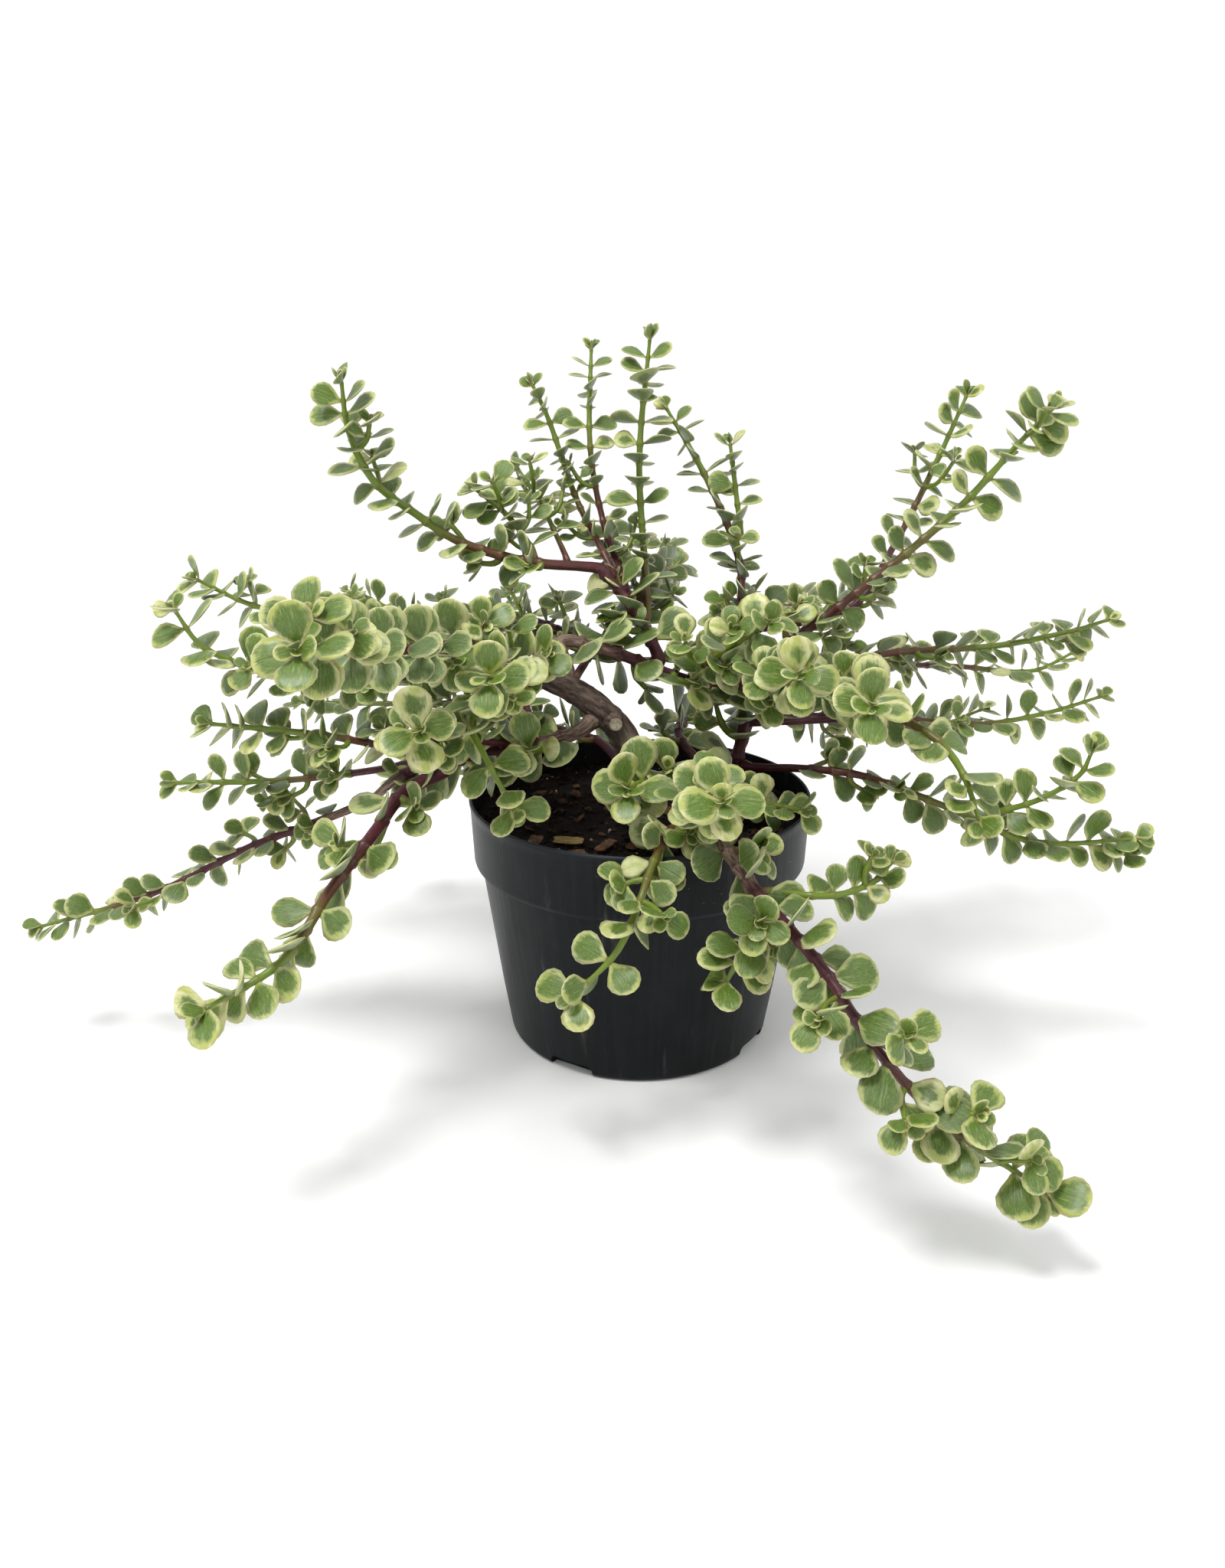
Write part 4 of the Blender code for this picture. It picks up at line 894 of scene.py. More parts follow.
def between_nodes(stem, size, opened, draw, air):
    """The smaller leaves and twigs that stand between a stem's nodes, where there is air for them."""
    marks = node_marks(stem)
    count = len(marks)
    leaves, grown, twigs = [], [], []
    for index, (near, far) in enumerate(zip(marks, marks[1:])):
        if far - near < LONG_GAP:
            continue
        distance = near + (far - near) * draw.uniform(*GAP_MIDDLE)
        ring = stem.section(distance)
        age = count - 1 - index
        if ring.place.y < FRONT and draw.random() < FRONT_MISSED and stem.name not in TWIGGY:
            continue
        grown.append(distance)
        for quarter in (index % 2, index % 2 + 2):
            chance = TWIGGY.get(stem.name, TWIG_CHANCE) + CROWN_TWIG_CHANCE * crowded(ring.place)
            if age > 1 and draw.random() < chance:
                twig = plan_twig(stem, ring, quarter, size * SPUR_LEAF, draw, air)
                if twig:
                    twigs.append(twig)
        for quarter in ((index + 1) % 2, (index + 1) % 2 + 2):
            length = LEAF_LENGTH * size * leaf_size(age, opened) * draw.uniform(0.78, 1.0)
            roll, angle = draw.uniform(-20, 20), leaf_angle(age, opened) + draw.uniform(-8, 8)
            for turn in SMALL_LEAF_TURNS:
                leaf = leaf_from(ring, quarter, angle + turn, length, roll)
                if air.free(leaf):
                    air.add(leaf)
                    leaves.append((leaf, age))
                    break
    return leaves, grown, twigs


def grown_on(stem, solid, size, opened, draw, spurred):
    """The leaves, each with its age in nodes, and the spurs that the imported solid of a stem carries."""
    leaves, spurs = [], []
    for band, index in stem.growth.items():
        age = len(stem.growth) - 1 - index
        ring = stem.middle_ring(band)
        quarters = (index % 2, index % 2 + 2) if spurred is not None else range(4)
        for quarter in quarters:
            if spurred and age > 1 and (index + quarter) % stem.spur_every == 2:
                spur = plan_spur(stem, band, quarter, draw)
                if solid.has(*stem_corners(spur.rings[-1])):
                    spur.grown = []
                    whorl = grown_on(spur, solid, size * SPUR_LEAF, max(opened, 0.75), draw, None)
                    spurs.append((spur, whorl[0]))
                    continue
            length = LEAF_LENGTH * size * leaf_size(age, opened)
            forms = leaf_choices(ring, quarter, leaf_angle(age, opened), length, draw)
            leaf = next((form for form in forms if solid.has(*form.tip_corners())), None)
            if leaf:
                leaves.append((leaf, age))
    return leaves, spurs


# ---------------------------------------------------------------- leaves

# A blade's counts of points, then its shape in shares of its length or breadth.
BLADE_SIDES = 8
BLADE_STEPS = 8
BLADE_BROADEST = 0.6
BLADE_HALF = 0.425
BLADE_THICK = 0.125
STALK_SHARE = 0.13
LEAF_SWELL = 1.07

# The pairs of leaves at a tip, closed or opened: how far they lean in degrees, and their size.
BUD_PAIRS = ((24, 0.44), (12, 0.28))
ROSETTE_PAIRS = ((42, 0.5), (20, 0.3))

# The brighter side, and how far the leaves roll towards it, with a spread in degrees.
WINDOW = Vector((-0.1, -0.72, 0.68))
WINDOW_TURN = (0.45, 0.95)
MOST_TURN = math.radians(58)
ROLL_SPREAD = 15

# How single leaves differ: in bend, in cup, in skew and in breadth.
BENDS = (-0.16, 0.07)
CUPS = (0.05, 0.26)
SKEWS = (-0.09, 0.09)
BREADTHS = (0.9, 1.1)

# A leaf's cream as mean and spread, and the chance and range of leaves with more and with most.
USUAL_CREAM = (0.12, 0.06)
MORE_CREAM, MORE_CREAM_CHANCE = (0.28, 0.5), 0.13
MOST_CREAM, MOST_CREAM_CHANCE = (0.7, 1.1), 0.035


def half_breadth(t):
    """A leaf's half breadth along it, as a share of its most: drop-shaped, with a round end."""
    if t < BLADE_BROADEST:
        return STALK_SHARE + (1 - STALK_SHARE) * math.sin(math.pi / 2 * t / BLADE_BROADEST) ** 1.5
    return math.sqrt(max(0, 1 - ((t - BLADE_BROADEST) / (1 - BLADE_BROADEST)) ** 2))


def blade_template():
    """A small ball whose poles are a leaf's foot and tip, and what each of its points is on a leaf."""
    bm = bmesh.new()
    bmesh.ops.create_uvsphere(bm, u_segments=BLADE_SIDES, v_segments=BLADE_STEPS, radius=1)
    bmesh.ops.recalc_face_normals(bm, faces=bm.faces)
    mesh = bpy.data.meshes.new("blade_template")
    places = []
    for vert in bm.verts:
        t = (vert.co.z + 1) / 2
        ring = math.hypot(vert.co.x, vert.co.y)
        a, b = (vert.co.x / ring, vert.co.y / ring) if ring > 1e-4 else (0, 0)
        places.append((a, b, t))
    bm.to_mesh(mesh)
    bm.free()
    return mesh, places


def turned_to_window(leaf, draw):
    """The leaf rolled part of the way to the brighter side, as on a plant that stands at a window."""
    wanted = WINDOW - leaf.direction * WINDOW.dot(leaf.direction)
    angle = math.atan2(leaf.direction.dot(leaf.upper.cross(wanted)), leaf.upper.dot(wanted))
    roll = max(-MOST_TURN, min(MOST_TURN, angle * draw.uniform(*WINDOW_TURN)))
    roll += math.radians(draw.gauss(0, ROLL_SPREAD))
    across = leaf.across.copy()
    across.rotate(Matrix.Rotation(roll, 3, leaf.direction))
    return Leaf(leaf.foot, leaf.direction, across, leaf.length)


class Foliage:
    """The leaves of one shoot, gathered in one mesh."""

    template, places = blade_template()

    def __init__(self, name):
        self.draw = random.Random(name + " foliage")
        self.bm, self.layers = new_bmesh("blade", "growth", "turn")

    def add(self, leaf, opened, old):
        """One leaf, bent and cupped a little by chance, with its own share of cream."""
        draw = self.draw
        leaf = turned_to_window(leaf, draw)
        bend = draw.uniform(*BENDS) * (1.2 - 0.7 * opened)
        cup = draw.uniform(*CUPS)
        skew = draw.uniform(*SKEWS)
        full = draw.uniform(*BREADTHS)
        chance = draw.random()
        cream = draw.gauss(*USUAL_CREAM)
        if chance < MORE_CREAM_CHANCE:
            cream = draw.uniform(*MORE_CREAM)
        elif chance > 1 - MOST_CREAM_CHANCE:
            cream = draw.uniform(*MOST_CREAM)
        growth = Vector((cream, min(1, max(0, old + draw.uniform(-0.15, 0.15))), draw.random()))
        self.bm.from_mesh(self.template)
        self.bm.verts.ensure_lookup_table()
        count = len(self.places)
        folded = draw.random()
        blade_layer, growth_layer, turn_layer = self.layers
        leaf.length *= LEAF_SWELL
        half = leaf.length * BLADE_HALF * full
        for vert, (a, b, t) in zip(self.bm.verts[-count:], self.places):
            share = half_breadth(t)
            wide = a * share * half
            thick = leaf.length * BLADE_THICK * (0.55 + 0.45 * share) * math.sqrt(max(0, 1 - t ** 6))
            high = b * thick / 2 * min(1, t * 9 + 0.2)
            high += leaf.length * bend * t * t + half * cup * (a * share) ** 2
            side = wide + leaf.length * skew * t * t
            vert.co = (leaf.foot + leaf.direction * leaf.length * t + leaf.across * side
                       + leaf.upper * high)
            inset = min((1 - abs(a)) * share, (1 - t) / BLADE_HALF)
            vert[blade_layer] = (a * share, t, inset)
            vert[growth_layer] = growth
            vert[turn_layer] = (b, folded, 0)

    def add_buds(self, stem, size, opened):
        """The youngest leaves, still small and nearly closed, at a stem's tip."""
        ring = stem.rings[-1]
        turn = len(stem.growth)
        for angle, share in ROSETTE_PAIRS if opened > 0.5 else BUD_PAIRS:
            for quarter in (turn % 2, turn % 2 + 2):
                length = LEAF_LENGTH * size * share * self.draw.uniform(0.85, 1.15)
                leaf = leaf_from(ring, quarter, angle, length, self.draw.uniform(-14, 14))
                leaf.foot = ring.place + ring.direction(quarter) * ring.radius * 0.5
                self.add(leaf, opened, 0.05)
            turn += 1


# ---------------------------------------------------------------- stems

STEM_SIDES = 8
WOODY_SIDES = 12
STEM_STEP = 4 * MM
WOODY_STEP = 2.5 * MM
SPUR_STEP = 1.8 * MM
SKIN_LUMPS = 0.07
WOODY_LUMPS = 0.22
WOODY_AGE = 0.75
NODE_SWELL = 0.3
STEM_PLUMP = 0.3
MOST_PLUMP = 2.6 * MM
NODE_REACH = 1.25 * MM
NODE_RINGS = (-1.8, -0.9, -0.4, 0, 0.4, 0.9, 1.8)

# The length over which a stem turns from young to woody, how much it varies, and the greener shoots.
YOUNG_LENGTH = 190 * MM
YOUNG_RANGE = (0.65, 1.2)
GREENER = 2.2
GREEN_SHOOTS = ("shoot_long_upper_left", "shoot_far_upper_right", "shoot_right_high", "shoot_right_low",
                "shoot_right_fork", "shoot_top_tall")
SLICE = 0.2 * MM


def tube(bm, layers, rings, sides, shape):
    """A round closed stem through rings, whose shape gives a radius and a growth at each angle."""
    straight_layer, growth_layer = layers
    first = rings[0][0]
    frame_of = Matrix((first.side, first.other, first.heading)).transposed().to_4x4()
    frame_of.translation = first.place
    made = bmesh.ops.create_cone(bm, cap_ends=True, segments=sides, radius1=first.radius,
                                 radius2=first.radius, depth=SLICE, matrix=frame_of)
    ends = {face for vert in made["verts"] for face in vert.link_faces if len(face.verts) == sides}
    face = max(ends, key=lambda end: end.calc_center_median().dot(first.heading))
    arm = face.verts[0].co - face.calc_center_median()
    start = math.atan2(arm.dot(first.other), arm.dot(first.side))
    for vert in made["verts"]:
        vert[straight_layer] = vert.co - first.place
        vert[growth_layer] = shape(first, 0, rings[0][1])[1]
    for ring, distance in rings[1:]:
        face = bmesh.ops.extrude_discrete_faces(bm, faces=[face])["faces"][0]
        for index, vert in enumerate(face.verts):
            angle = start + index * math.tau / sides
            radius, growth = shape(ring, angle, distance)
            arm = ring.side * math.cos(angle) + ring.other * math.sin(angle)
            vert.co = ring.place + arm * radius
            vert[straight_layer] = (math.cos(angle) * radius, math.sin(angle) * radius, distance)
            vert[growth_layer] = growth


def plump(stem, share):
    """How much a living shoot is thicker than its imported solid, down to nothing at its tip."""
    return stem.foot_radius * STEM_PLUMP * min(1, 5 * (1 - share)) if stem.foot_radius < MOST_PLUMP else 0


def smooth_rings(stem, step, sunk, marks=()):
    """Rings along a stem's own curve, closer together at its nodes, from inside its parent."""
    end = stem.distances[-1]
    distances = {round(i * step / MM, 2) for i in range(1, int(end / step) + 1)}
    for mark in marks:
        for offset in NODE_RINGS:
            distances.add(round(mark / MM + offset, 2))
    distances = sorted(d for d in distances if 0.3 < d < end / MM - 0.2)
    spaced = [distances[0]] if distances else []
    for distance in distances[1:]:
        if distance - spaced[-1] > 0.35:
            spaced.append(distance)
    route = stem.route
    ring = Ring(route.place(0) - route.first_heading * sunk, route.first_heading, stem.rings[0].side,
                stem.foot_radius)
    rings = [(ring, -sunk)]
    for distance in [0, *(d * MM for d in spaced), end]:
        radius = stem.radius_at(distance) + plump(stem, distance / end)
        ring = ring_after(ring, route.place(distance), route.heading(distance), radius)
        rings.append((ring, distance))
    return rings


def node_marks(stem):
    """The distances of a stem's nodes."""
    return [(stem.distances[band] + stem.distances[band + 1]) / 2 for band in stem.growth]


def living_shape(stem, seed, age_at_tip, young_length, roughness):
    """Radius and growth round a living stem: swollen at its nodes, older away from its tip."""
    marks = node_marks(stem) + stem.grown
    end = stem.distances[-1]

    def shape(ring, angle, distance):
        off = min((abs(distance - mark) for mark in marks), default=1)
        joint = math.exp(-((off / NODE_REACH) ** 2))
        around = (math.cos(angle) * 1.6, math.sin(angle) * 1.6, distance * 160 + seed * 60)
        lump = noise.noise(Vector(around))
        collar = 0.35 * math.exp(-max(distance, 0) / (3 * MM))
        radius = ring.radius * (1 + NODE_SWELL * joint + collar + lump * roughness)
        age = age_at_tip + (end - distance) / young_length
        return radius, Vector((age, math.exp(-((off / (0.45 * MM)) ** 2)), seed))

    return shape


def draw_stem(name, stem, spurs, woody):
    """A stem with its spurs as one piece."""
    draw = random.Random(name + " stem")
    bm, layers = new_bmesh("straight", "growth")
    seed = draw.random()
    if woody:
        sides, step, age, lumps = WOODY_SIDES, WOODY_STEP, WOODY_AGE, WOODY_LUMPS
    else:
        sides, step, age, lumps = STEM_SIDES, STEM_STEP, 0, SKIN_LUMPS
    young = YOUNG_LENGTH * draw.uniform(*YOUNG_RANGE) * (GREENER if name in GREEN_SHOOTS else 1)
    shape = living_shape(stem, seed, age, young, lumps)
    marks = node_marks(stem) + stem.grown
    tube(bm, layers, smooth_rings(stem, step, stem.foot_radius * 0.9, marks), sides, shape)
    for spur, _ in spurs:
        away = (stem.route.length - nearest_distance(stem, spur.rings[0].place)) / YOUNG_LENGTH
        spur_age = min(0.35, away * 0.3)
        spur_shape = living_shape(spur, draw.random(), spur_age, YOUNG_LENGTH, SKIN_LUMPS)
        tube(bm, layers, smooth_rings(spur, SPUR_STEP, spur.foot_radius), STEM_SIDES, spur_shape)
    return bm


def nearest_distance(stem, place):
    nearest = min(range(len(stem.rings)), key=lambda i: (stem.rings[i].place - place).length)
    return stem.distances[nearest]


# ---------------------------------------------------------------- trunk

TRUNK_SIDES = 36
TRUNK_STEP = 1.1 * MM
TRUNK_SCAR = 0.5
STUB_AT = 0.62
STUB_LENGTH = 6.0 * MM
STUB_RADIUS = 3.1 * MM
STUB_SIDES = 28

# The stub's rings: shares of its length and of its radius, and 0 on the bark to 1 on the sawn end.
STUB_PLAN = (
    (0.3, 1.45, 0), (0.5, 1.2, 0), (0.7, 1.08, 0), (0.86, 1.02, 0), (0.96, 1.0, 0),
    (1.0, 0.94, 0.2), (1.01, 0.84, 1), (1.0, 0.7, 1), (0.985, 0.4, 1), (0.98, 0.12, 1),
)


def ridge_at(angle, distance, seed):
    """Bark relief from 0 in a crack to 1 on a ridge, long along the wood."""
    around = Vector((math.cos(angle) * 2.3, math.sin(angle) * 2.3, distance * 55 + seed))
    fine = Vector((math.cos(angle) * 6, math.sin(angle) * 6, distance * 210 + seed))
    wide = noise.fractal(around, 0.9, 2, 3)
    return min(1, max(0, 0.5 + 0.42 * wide + 0.3 * noise.noise(fine)))


def draw_trunk(trunk, bark):
    """The old trunk: fissured, flared where it leaves the mix, and narrowed to the limb it becomes."""
    bm, layers = new_bmesh("straight", "growth")
    end = trunk.distances[-1]
    scar_at = trunk.route.length * TRUNK_SCAR

    def shape(ring, angle, distance):
        ridge = ridge_at(angle, distance, 3.0)
        flare = 0.3 * math.exp(-max(0, distance - STEM_BURIED) / (7 * MM))
        narrow = 1 - 0.2 * min(1, max(0, (distance - end + 9 * MM) / (9 * MM)))
        radius = ring.radius * (0.86 + 0.34 * ridge + flare) * narrow
        arm = ring.side * math.cos(angle) + ring.other * math.sin(angle)
        facing = arm.dot(Vector((0.2, -1, 0.3)))
        scar = max(0, facing - 0.75) * 4 * math.exp(-(((distance - scar_at) / (5 * MM)) ** 2))
        return radius, Vector((ridge, min(1, scar), 0.5))

    tube(bm, layers, smooth_rings(trunk, TRUNK_STEP, 0), TRUNK_SIDES, shape)
    put(bm, "trunk_bark", bark, "bark", "trunk")


def draw_stub(trunk, bark):
    """The sawn-off branch on the trunk's front: a bark collar and a pale, slightly dished end."""
    bm, layers = new_bmesh("straight", "growth")
    foot = trunk.section(trunk.route.length * STUB_AT)
    outward = Vector((0.1, -1, 0.25))
    outward = (outward - foot.heading * outward.dot(foot.heading)).normalized()
    first = Ring(foot.place + outward * foot.radius * 0.4, outward, foot.heading, STUB_RADIUS * 1.3)
    reach = foot.radius * 0.6 + STUB_LENGTH
    rings = [(first, 0)]
    for share, wide, pale in STUB_PLAN:
        ring = Ring(first.place + outward * reach * share, outward, foot.heading, STUB_RADIUS * wide)
        rings.append((ring, reach * share + pale))

    def shape(ring, angle, distance):
        pale = 1 if distance > 0.9 else 5 * distance if distance > 0.1 else 0
        ridge = ridge_at(angle, distance, 11.0)
        rough = 0 if pale else 0.16 * (ridge - 0.5)
        return ring.radius * (1 + rough), Vector((max(ridge, 0.6 * min(1, pale)), min(1, pale), 0.2))

    tube(bm, layers, rings, STUB_SIDES, shape)
    put(bm, "trunk_sawn_stub", bark, "bark")


# ---------------------------------------------------------------- pot and potting mix

POT_STEPS = 120
MIX_GRID = 110

# The potting mix's top: its drop under its level, its lumps, its fine relief and its heap, and how far
# that heap reaches.
TOP_DROP = 0.6 * MM
TOP_LUMPS = 1.5 * MM
TOP_FINE = 0.55 * MM
TOP_HEAP = 1.6 * MM
HEAP_REACH = 30 * MM

# What is strewn over the mix: piece, finish, slot, count, least and most size in mm, how flat, seed.
CRUMBS = (
    ("mix_crumbs", ("peat_crumbs", "0f0b09", "3d2c21", 0.92), "potting_mix",
     1500, 0.8, 4.2, (0.35, 0.8), 11),
    ("mix_bark_bits", ("bark_bits", "26160e", "6e4f38", 0.85), "bark_chips",
     130, 2.0, 9.0, (0.2, 0.45), 12),
    ("mix_perlite", ("perlite", "8d8878", "c9c3b2", 0.9), "potting_mix",
     60, 0.8, 2.4, (0.6, 0.9), 13),
)

# Bark chips and the fallen leaf on the mix: length and breadth, and turn in degrees.
CHIPS = {
    "bark_chip_1": (16 * MM, 6 * MM, 20),
    "bark_chip_2": (12 * MM, 7 * MM, -35),
    "bark_chip_3": (14 * MM, 5 * MM, 60),
    "bark_chip_4": (10 * MM, 6 * MM, 80),
    "fallen_leaf": (13 * MM, 8 * MM, -10),
}


def pot_outline():
    """The pot's section from the middle of its underside, up the outside, over the rim and down inside."""
    foot = POT_HEIGHT - COLLAR_DEPTH
    outline = [(0, 1.2 * MM), (BASE_RADIUS - 14 * MM, 1.2 * MM), (BASE_RADIUS - 12 * MM, 0)]
    for step in range(7):
        angle = math.pi / 2 * step / 6
        across, up = BASE_FILLET * (1 - math.sin(angle)), BASE_FILLET * (1 - math.cos(angle))
        outline.append((BASE_RADIUS - across, up))
    for share in (0.25, 0.5, 0.75, 0.97):
        height = BASE_FILLET + (foot - BASE_FILLET) * share
        outline.append((outer_radius(height), height))
    collar, inside = collar_foot_radius(), RIM_RADIUS - POT_WALL
    # Each place: a radius and a height, and how far past them it lies in mm.
    places = (
        (outer_radius(foot), foot, 0, -0.5), (body_top_radius(), foot, 0.5, -0.05),
        (collar, foot, -0.9, 0.05), (collar, foot, -0.2, 0.35),
        (collar, foot + COLLAR_EDGE, 0, 0), (collar, foot, 0.05, 2.6),
        (RIM_RADIUS, POT_HEIGHT, -0.6, -6), (RIM_RADIUS, POT_HEIGHT, -0.35, -2.6),
        (RIM_RADIUS, POT_HEIGHT, 0, -2.0), (RIM_RADIUS, POT_HEIGHT, 0, -0.5),
        (RIM_RADIUS, POT_HEIGHT, -0.2, -0.12), (RIM_RADIUS, POT_HEIGHT, -0.6, 0),
        (inside, POT_HEIGHT, 0.2, -0.1), (inside, POT_HEIGHT, 0, -0.6),
        (inner_radius(foot + 3 * MM), foot, 0, 3), (inner_radius(foot - 2 * MM), foot, 0, -2),
        (outer_radius(6 * MM) - POT_WALL, 0, 0, 6), (BASE_RADIUS - POT_WALL, POT_FLOOR, -2, 1),
        (BASE_RADIUS, POT_FLOOR, -8, 0.8), (0, POT_FLOOR, 0, 0.8),
    )
    outline += [(radius + out * MM, height + up * MM) for radius, height, out, up in places]
    return outline


def spun(outline, steps, merged):
    """A body turned about Z from its outline, with places closer than a distance merged."""
    bm = bmesh.new()
    verts = [bm.verts.new((radius, 0, height)) for radius, height in outline]
    edges = [bm.edges.new(pair) for pair in zip(verts, verts[1:])]
    bmesh.ops.spin(bm, geom=verts + edges, axis=(0, 0, 1), cent=(0, 0, 0), angle=math.tau, steps=steps,
                   use_merge=True)
    bmesh.ops.remove_doubles(bm, verts=bm.verts, dist=merged)
    return bm


def notch(index):
    """A drain notch's cutter, with rounded upper corners."""
    bm = bmesh.new()
    bmesh.ops.create_cube(bm, size=1)
    size = Matrix.Diagonal((NOTCH_WIDTH, 2 * NOTCH_REACH, 2 * NOTCH_HEIGHT, 1))
    bmesh.ops.transform(bm, matrix=size, verts=bm.verts)
    corners = [e for e in bm.edges if min(v.co.z for v in e.verts) > 0
               and abs(e.verts[0].co.x - e.verts[1].co.x) < MM]
    bmesh.ops.bevel(bm, geom=corners, offset=3 * MM, segments=6, profile=0.5, affect="EDGES", material=-1)
    bearing = math.radians(NOTCH_BEARING + index * 360 / NOTCH_COUNT)
    place = Matrix.Rotation(bearing, 4, "Z") @ Matrix.Translation((0, -BASE_RADIUS, 0))
    bmesh.ops.transform(bm, matrix=place, verts=bm.verts)
    mesh = bpy.data.meshes.new("notch_cutter")
    bm.to_mesh(mesh)
    bm.free()
    return bpy.data.objects.new(f"notch_cutter_{index}", mesh)


def draw_pot(plastic):
    bm = spun(pot_outline(), POT_STEPS, 0.005 * MM)
    bmesh.ops.recalc_face_normals(bm, faces=bm.faces)
    piece = put(bm, "nursery_pot", plastic, "pot_plastic", "pot")
    cutters = [notch(index) for index in range(NOTCH_COUNT)]
    for cutter in cutters:
        bpy.context.scene.collection.objects.link(cutter)
        modifier = piece.modifiers.new(cutter.name, "BOOLEAN")
        modifier.operation = "DIFFERENCE"
        modifier.solver = "EXACT"
        modifier.object = cutter
    settled(piece)
    for cutter in cutters:
        bpy.data.objects.remove(cutter)
    piece.data.set_sharp_from_angle(angle=math.radians(50))


def surface_height(x, y):
    """The uneven top of the potting mix, heaped a little towards the stems."""
    place = Vector((x * 60, y * 60, 0))
    lumps = noise.fractal(place, 0.8, 2.1, 4) * TOP_LUMPS
    fine = noise.noise(Vector((x * 420, y * 420, 7))) * TOP_FINE
    heap = TOP_HEAP * math.exp(-((x * x + y * y) / HEAP_REACH ** 2))
    return mix_level() - TOP_DROP + lumps + fine + heap


def draw_mix(soil):
    """The potting mix down to the pot's floor, with an uneven top."""
    bm, layers = new_bmesh("growth")
    bmesh.ops.create_grid(bm, x_segments=MIX_GRID, y_segments=MIX_GRID, size=1)
    radius = inner_radius(mix_level()) - 0.25 * MM
    for vert in bm.verts:
        x, y = vert.co.x, vert.co.y
        vert.co.x = x * math.sqrt(1 - y * y / 2) * radius
        vert.co.y = y * math.sqrt(1 - x * x / 2) * radius
        vert.co.z = surface_height(vert.co.x, vert.co.y)
        vert[layers[0]] = (0.2, 0, 0)
    rim = [edge for edge in bm.edges if edge.is_boundary]
    foot = POT_HEIGHT - COLLAR_DEPTH
    for height in (foot + 4 * MM, foot - 3 * MM, POT_FLOOR + 5 * MM):
        grown = bmesh.ops.extrude_edge_only(bm, edges=rim)["geom"]
        wide = inner_radius(height) - 0.6 * MM
        for vert in (v for v in grown if isinstance(v, bmesh.types.BMVert)):
            out = Vector((vert.co.x, vert.co.y)).normalized() * wide
            vert.co = (out.x, out.y, height)
        rim = [e for e in grown if isinstance(e, bmesh.types.BMEdge) and e.is_boundary]
    bmesh.ops.edgeloop_fill(bm, edges=rim)
    bmesh.ops.recalc_face_normals(bm, faces=bm.faces)
    put(bm, "potting_mix_bed", soil, "potting_mix", "potting_mix")


def scatter(name, material, slot, count, low, high, flat, seed):
    """Crumbs strewn over the mix, each a rough little lump with its own shade."""
    draw = random.Random(seed)
    bm, (growth_layer,) = new_bmesh("growth")
    reach = inner_radius(mix_level()) - 2.5 * MM
    for _ in range(count):
        distance, bearing = reach * math.sqrt(draw.random()), draw.uniform(0, math.tau)
        x, y = distance * math.sin(bearing), -distance * math.cos(bearing)
        size = low + (high - low) * draw.random() ** 2.2
        turn = Matrix.Rotation(draw.uniform(0, math.tau), 4, "Z")
        turn = turn @ Matrix.Rotation(draw.uniform(-0.5, 0.5), 4, "X")
        shape = Matrix.Diagonal((size, size * draw.uniform(0.4, 0.9), size * draw.uniform(*flat), 1))
        place = Matrix.Translation((x, y, surface_height(x, y) + size * 0.15)) @ turn @ shape
        made = bmesh.ops.create_icosphere(bm, subdivisions=1, radius=0.5, matrix=place)
        growth = Vector((draw.random(), 0, draw.random()))
        for vert in made["verts"]:
            vert.co += Vector([draw.uniform(-0.12, 0.12) * size for _ in range(3)])
            vert[growth_layer] = growth
    piece = put(bm, name, material, slot)
    piece.data.set_sharp_from_angle(angle=math.radians(35))


def draw_chip(name, node, material, slot, seed, curl):
    """A flake with broken ends, or a dry leaf that curls, where its solid lies."""
    low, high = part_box(node)
    middle = (low + high) / 2
    length, breadth, angle = CHIPS[node]
    bm, (straight_layer,) = new_bmesh("straight")
    bmesh.ops.create_cube(bm, size=1)
    long_edges = [e for e in bm.edges if abs(e.verts[0].co.x - e.verts[1].co.x) > 0.5]
    bmesh.ops.subdivide_edges(bm, edges=long_edges, cuts=9, use_grid_fill=True)
    cross_edges = [e for e in bm.edges if abs(e.verts[0].co.y - e.verts[1].co.y) > 0.5]
    bmesh.ops.subdivide_edges(bm, edges=cross_edges, cuts=5, use_grid_fill=True)
    for vert in bm.verts:
        x, y, z = vert.co
        broken = 1.2 + 0.6 * noise.noise(Vector((y * 4, seed, x)))
        end = 1 - 0.55 * max(0, abs(x) * 2 - 0.55) ** 1.5 * broken
        ragged = 0.05 * noise.noise(Vector((y * 9, seed * 3, 5)))
        thick = (0.75 if curl < 1 else 0.28) * (1 - 0.4 * (2 * x) ** 4) * (1 - 0.35 * (2 * y) ** 4)
        bumps = 0.16 * noise.fractal(Vector((x * 3, y * 5, z + seed * 9)), 0.8, 2, 3)
        rise = curl * 0.5 * (2 * y) ** 2 + 0.3 * curl * (x * x) + bumps
        vert[straight_layer] = (x * length, y * breadth, z * MM)
        vert.co = ((x + ragged) * length, y * breadth * end, (z * thick + rise) * 2 * MM)
    turn = Matrix.Translation(middle) @ Matrix.Rotation(math.radians(angle), 4, "Z")
    bmesh.ops.transform(bm, matrix=turn, verts=bm.verts)
    bmesh.ops.recalc_face_normals(bm, faces=bm.faces)
    piece = put(bm, name, material, slot, node)
    finer = piece.modifiers.new("finer", "SUBSURF")
    finer.levels = finer.render_levels = 1


# ---------------------------------------------------------------- the plant


# How old a leaf looks, from 0 to 1.
WOODY_OLD = 0.85
SHOOT_OLD = 0.75
OLDER_PER_NODE = 0.14
SPUR_OLD = 0.2
LIMB_OPENED = 0.5


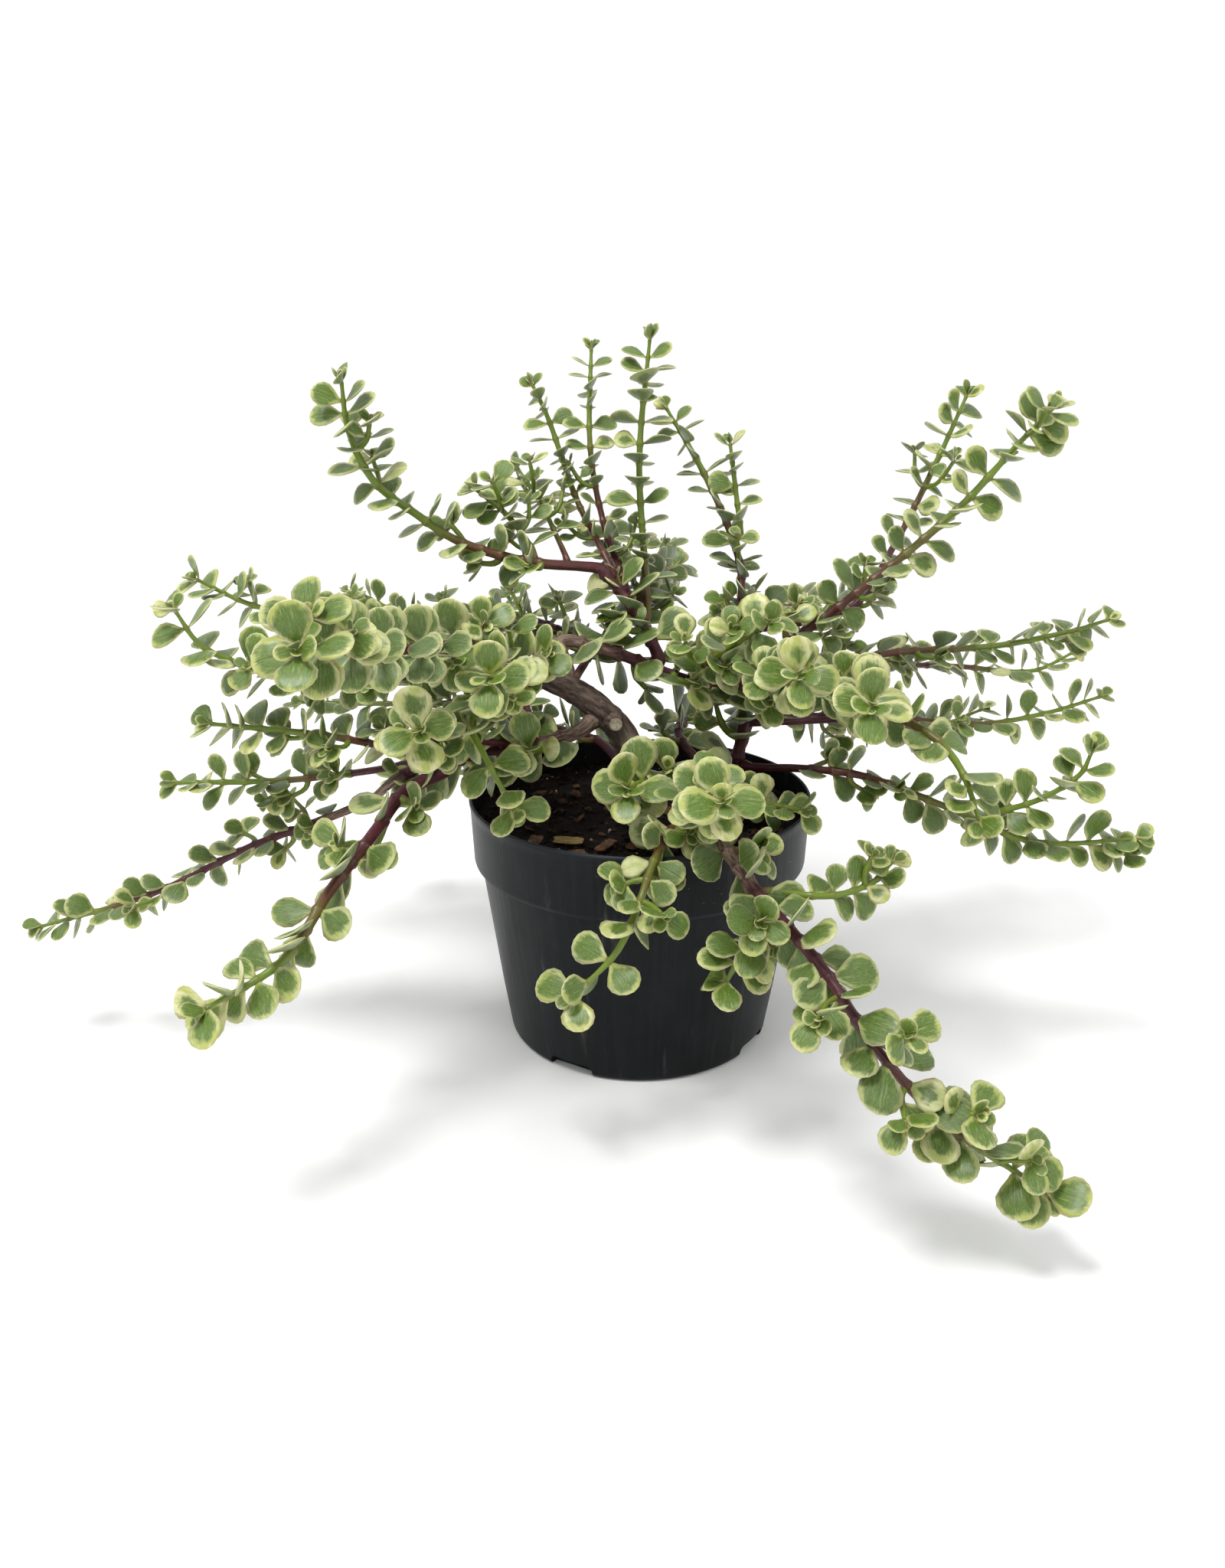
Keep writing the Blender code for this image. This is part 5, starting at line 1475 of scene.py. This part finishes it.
def draw_plant(leaf_skin, stem_skin, bark):
    """The trunk and its stub, then each limb and shoot as a stem piece and a leaf piece."""
    placed = {}
    for name in LIMBS:
        placed[name] = plan_limb(name, placed)
    for name in SHOOTS:
        placed[name] = plan_shoot(name, placed)
    draw_trunk(placed["trunk"], bark)
    draw_stub(placed["trunk"], bark)
    stems = {name: (row[3], row[6], row[5] > 0) for name, row in SHOOTS.items()}
    stems |= {name: (row[4], LIMB_OPENED, False) for name, row in LIMBS.items() if name != "trunk"}
    packed, air = {}, Air()
    for name, (size, opened, spurred) in stems.items():
        packed[name] = grown_on(placed[name], Solid(name), size, opened, random.Random(name), spurred)
        for leaf, _ in packed[name][0] + [pair for spur in packed[name][1] for pair in spur[1]]:
            air.add(leaf)
    for name, (size, opened, spurred) in stems.items():
        woody = name in LIMBS
        stem = placed[name]
        leaves, spurs = packed[name]
        foliage = Foliage(name)
        more, stem.grown, twigs = between_nodes(stem, size, opened, foliage.draw, air)
        leaves = leaves + more
        spurs = spurs + twigs
        for leaf, age in leaves:
            old = WOODY_OLD if woody else min(SHOOT_OLD, age * OLDER_PER_NODE)
            foliage.add(leaf, opened if age < 2 else 0, old)
        for spur, whorl in spurs:
            for leaf, _ in whorl:
                foliage.add(leaf, 1, SPUR_OLD)
            foliage.add_buds(spur, size * SPUR_LEAF, 1)
        if not woody:
            foliage.add_buds(stem, size, opened)
        put(draw_stem(name, stem, spurs, woody), name + "_stem", stem_skin, "stem_skin", name)
        if foliage.bm.verts:
            put(foliage.bm, name + "_leaves", leaf_skin, "leaf", name)


# ---------------------------------------------------------------- floor, light and camera

FLOOR_RADIUS = 1.6
FLOOR_CURVE = 0.6
FLOOR_TOP = 2.0
FLOOR_STEPS = 64
SKY = 0.9
LAMP_AIM = Vector((0, 0, 0.15))

# Each lamp: its place, its size and its power.
LAMPS = (
    ("key_lamp", (-0.45, -0.55, 1.7), 0.6, 22),
    ("fill_lamp", (1.3, -0.9, 0.9), 1.2, 2),
)

SENSOR_HEIGHT = 36
LENS_LENGTH = 30.234375
CAMERA_PLACE = (-0.0124, -0.5627, 0.3232)
CAMERA_TILT = 70


def draw_stage():
    """A plain pale floor that sweeps up all round, a soft key from above, a fill and a pale sky."""
    sweep = [(0, 0), (FLOOR_RADIUS, 0)]
    for step in range(1, 9):
        angle = math.pi / 2 * step / 8
        sweep.append((FLOOR_RADIUS + FLOOR_CURVE * math.sin(angle), FLOOR_CURVE * (1 - math.cos(angle))))
    bm = spun(sweep + [(FLOOR_RADIUS + FLOOR_CURVE, FLOOR_TOP)], FLOOR_STEPS, MM)
    mesh = bpy.data.meshes.new("floor")
    bm.to_mesh(mesh)
    bm.free()
    mesh.shade_smooth()
    floor = bpy.data.objects.new("floor", mesh)
    bpy.context.scene.collection.objects.link(floor)
    paper = Finish("floor_paper", {"Base Color": (0.93, 0.93, 0.93, 1), "Roughness": 0.95,
                                   "Specular IOR Level": 0.1})
    mesh.materials.append(paper.material)
    world = bpy.data.worlds.new("sky")
    bpy.context.scene.world = world
    world.use_nodes = True
    sky = world.node_tree.nodes["Background"]
    sky.inputs["Color"].default_value = (1, 1, 1, 1)
    sky.inputs["Strength"].default_value = SKY
    for name, place, size, power in LAMPS:
        lamp = bpy.data.lights.new(name, "AREA")
        lamp.shape = "DISK"
        lamp.size = size
        lamp.energy = power
        stand = bpy.data.objects.new(name, lamp)
        stand.location = place
        stand.rotation_euler = (LAMP_AIM - Vector(place)).to_track_quat("-Z", "Y").to_euler()
        bpy.context.scene.collection.objects.link(stand)


def draw_camera():
    """The camera in front of the plant, looking a little down on it."""
    lens = bpy.data.cameras.new("camera")
    lens.sensor_fit = "VERTICAL"
    lens.sensor_height = SENSOR_HEIGHT
    lens.lens = LENS_LENGTH
    camera = bpy.data.objects.new("camera", lens)
    camera.location = CAMERA_PLACE
    camera.rotation_euler = (math.radians(CAMERA_TILT), 0, 0)
    bpy.context.scene.collection.objects.link(camera)
    bpy.context.scene.camera = camera


bpy.context.scene.view_settings.view_transform = "Standard"
draw_camera()
draw_stage()
draw_pot(pot_finish())
draw_mix(ground_finish("peat", "0b0807", "271c15", 0.95))
for name, skin, slot, count, low, high, flat, seed in CRUMBS:
    scatter(name, ground_finish(*skin), slot, count, low * MM, high * MM, flat, seed)
chip_skin = chip_finish("bark_chip", "3a2216", "7f5c41")
for number in range(1, 5):
    draw_chip(f"bark_flake_{number}", f"bark_chip_{number}", chip_skin, "bark_chips", number, 0.3)
draw_chip("dry_leaf", "fallen_leaf", chip_finish("dry_leaf", "7d6232", "b59c64"), "dry_leaf", 5, 1.0)
draw_plant(leaf_finish(), stem_finish(), bark_finish())
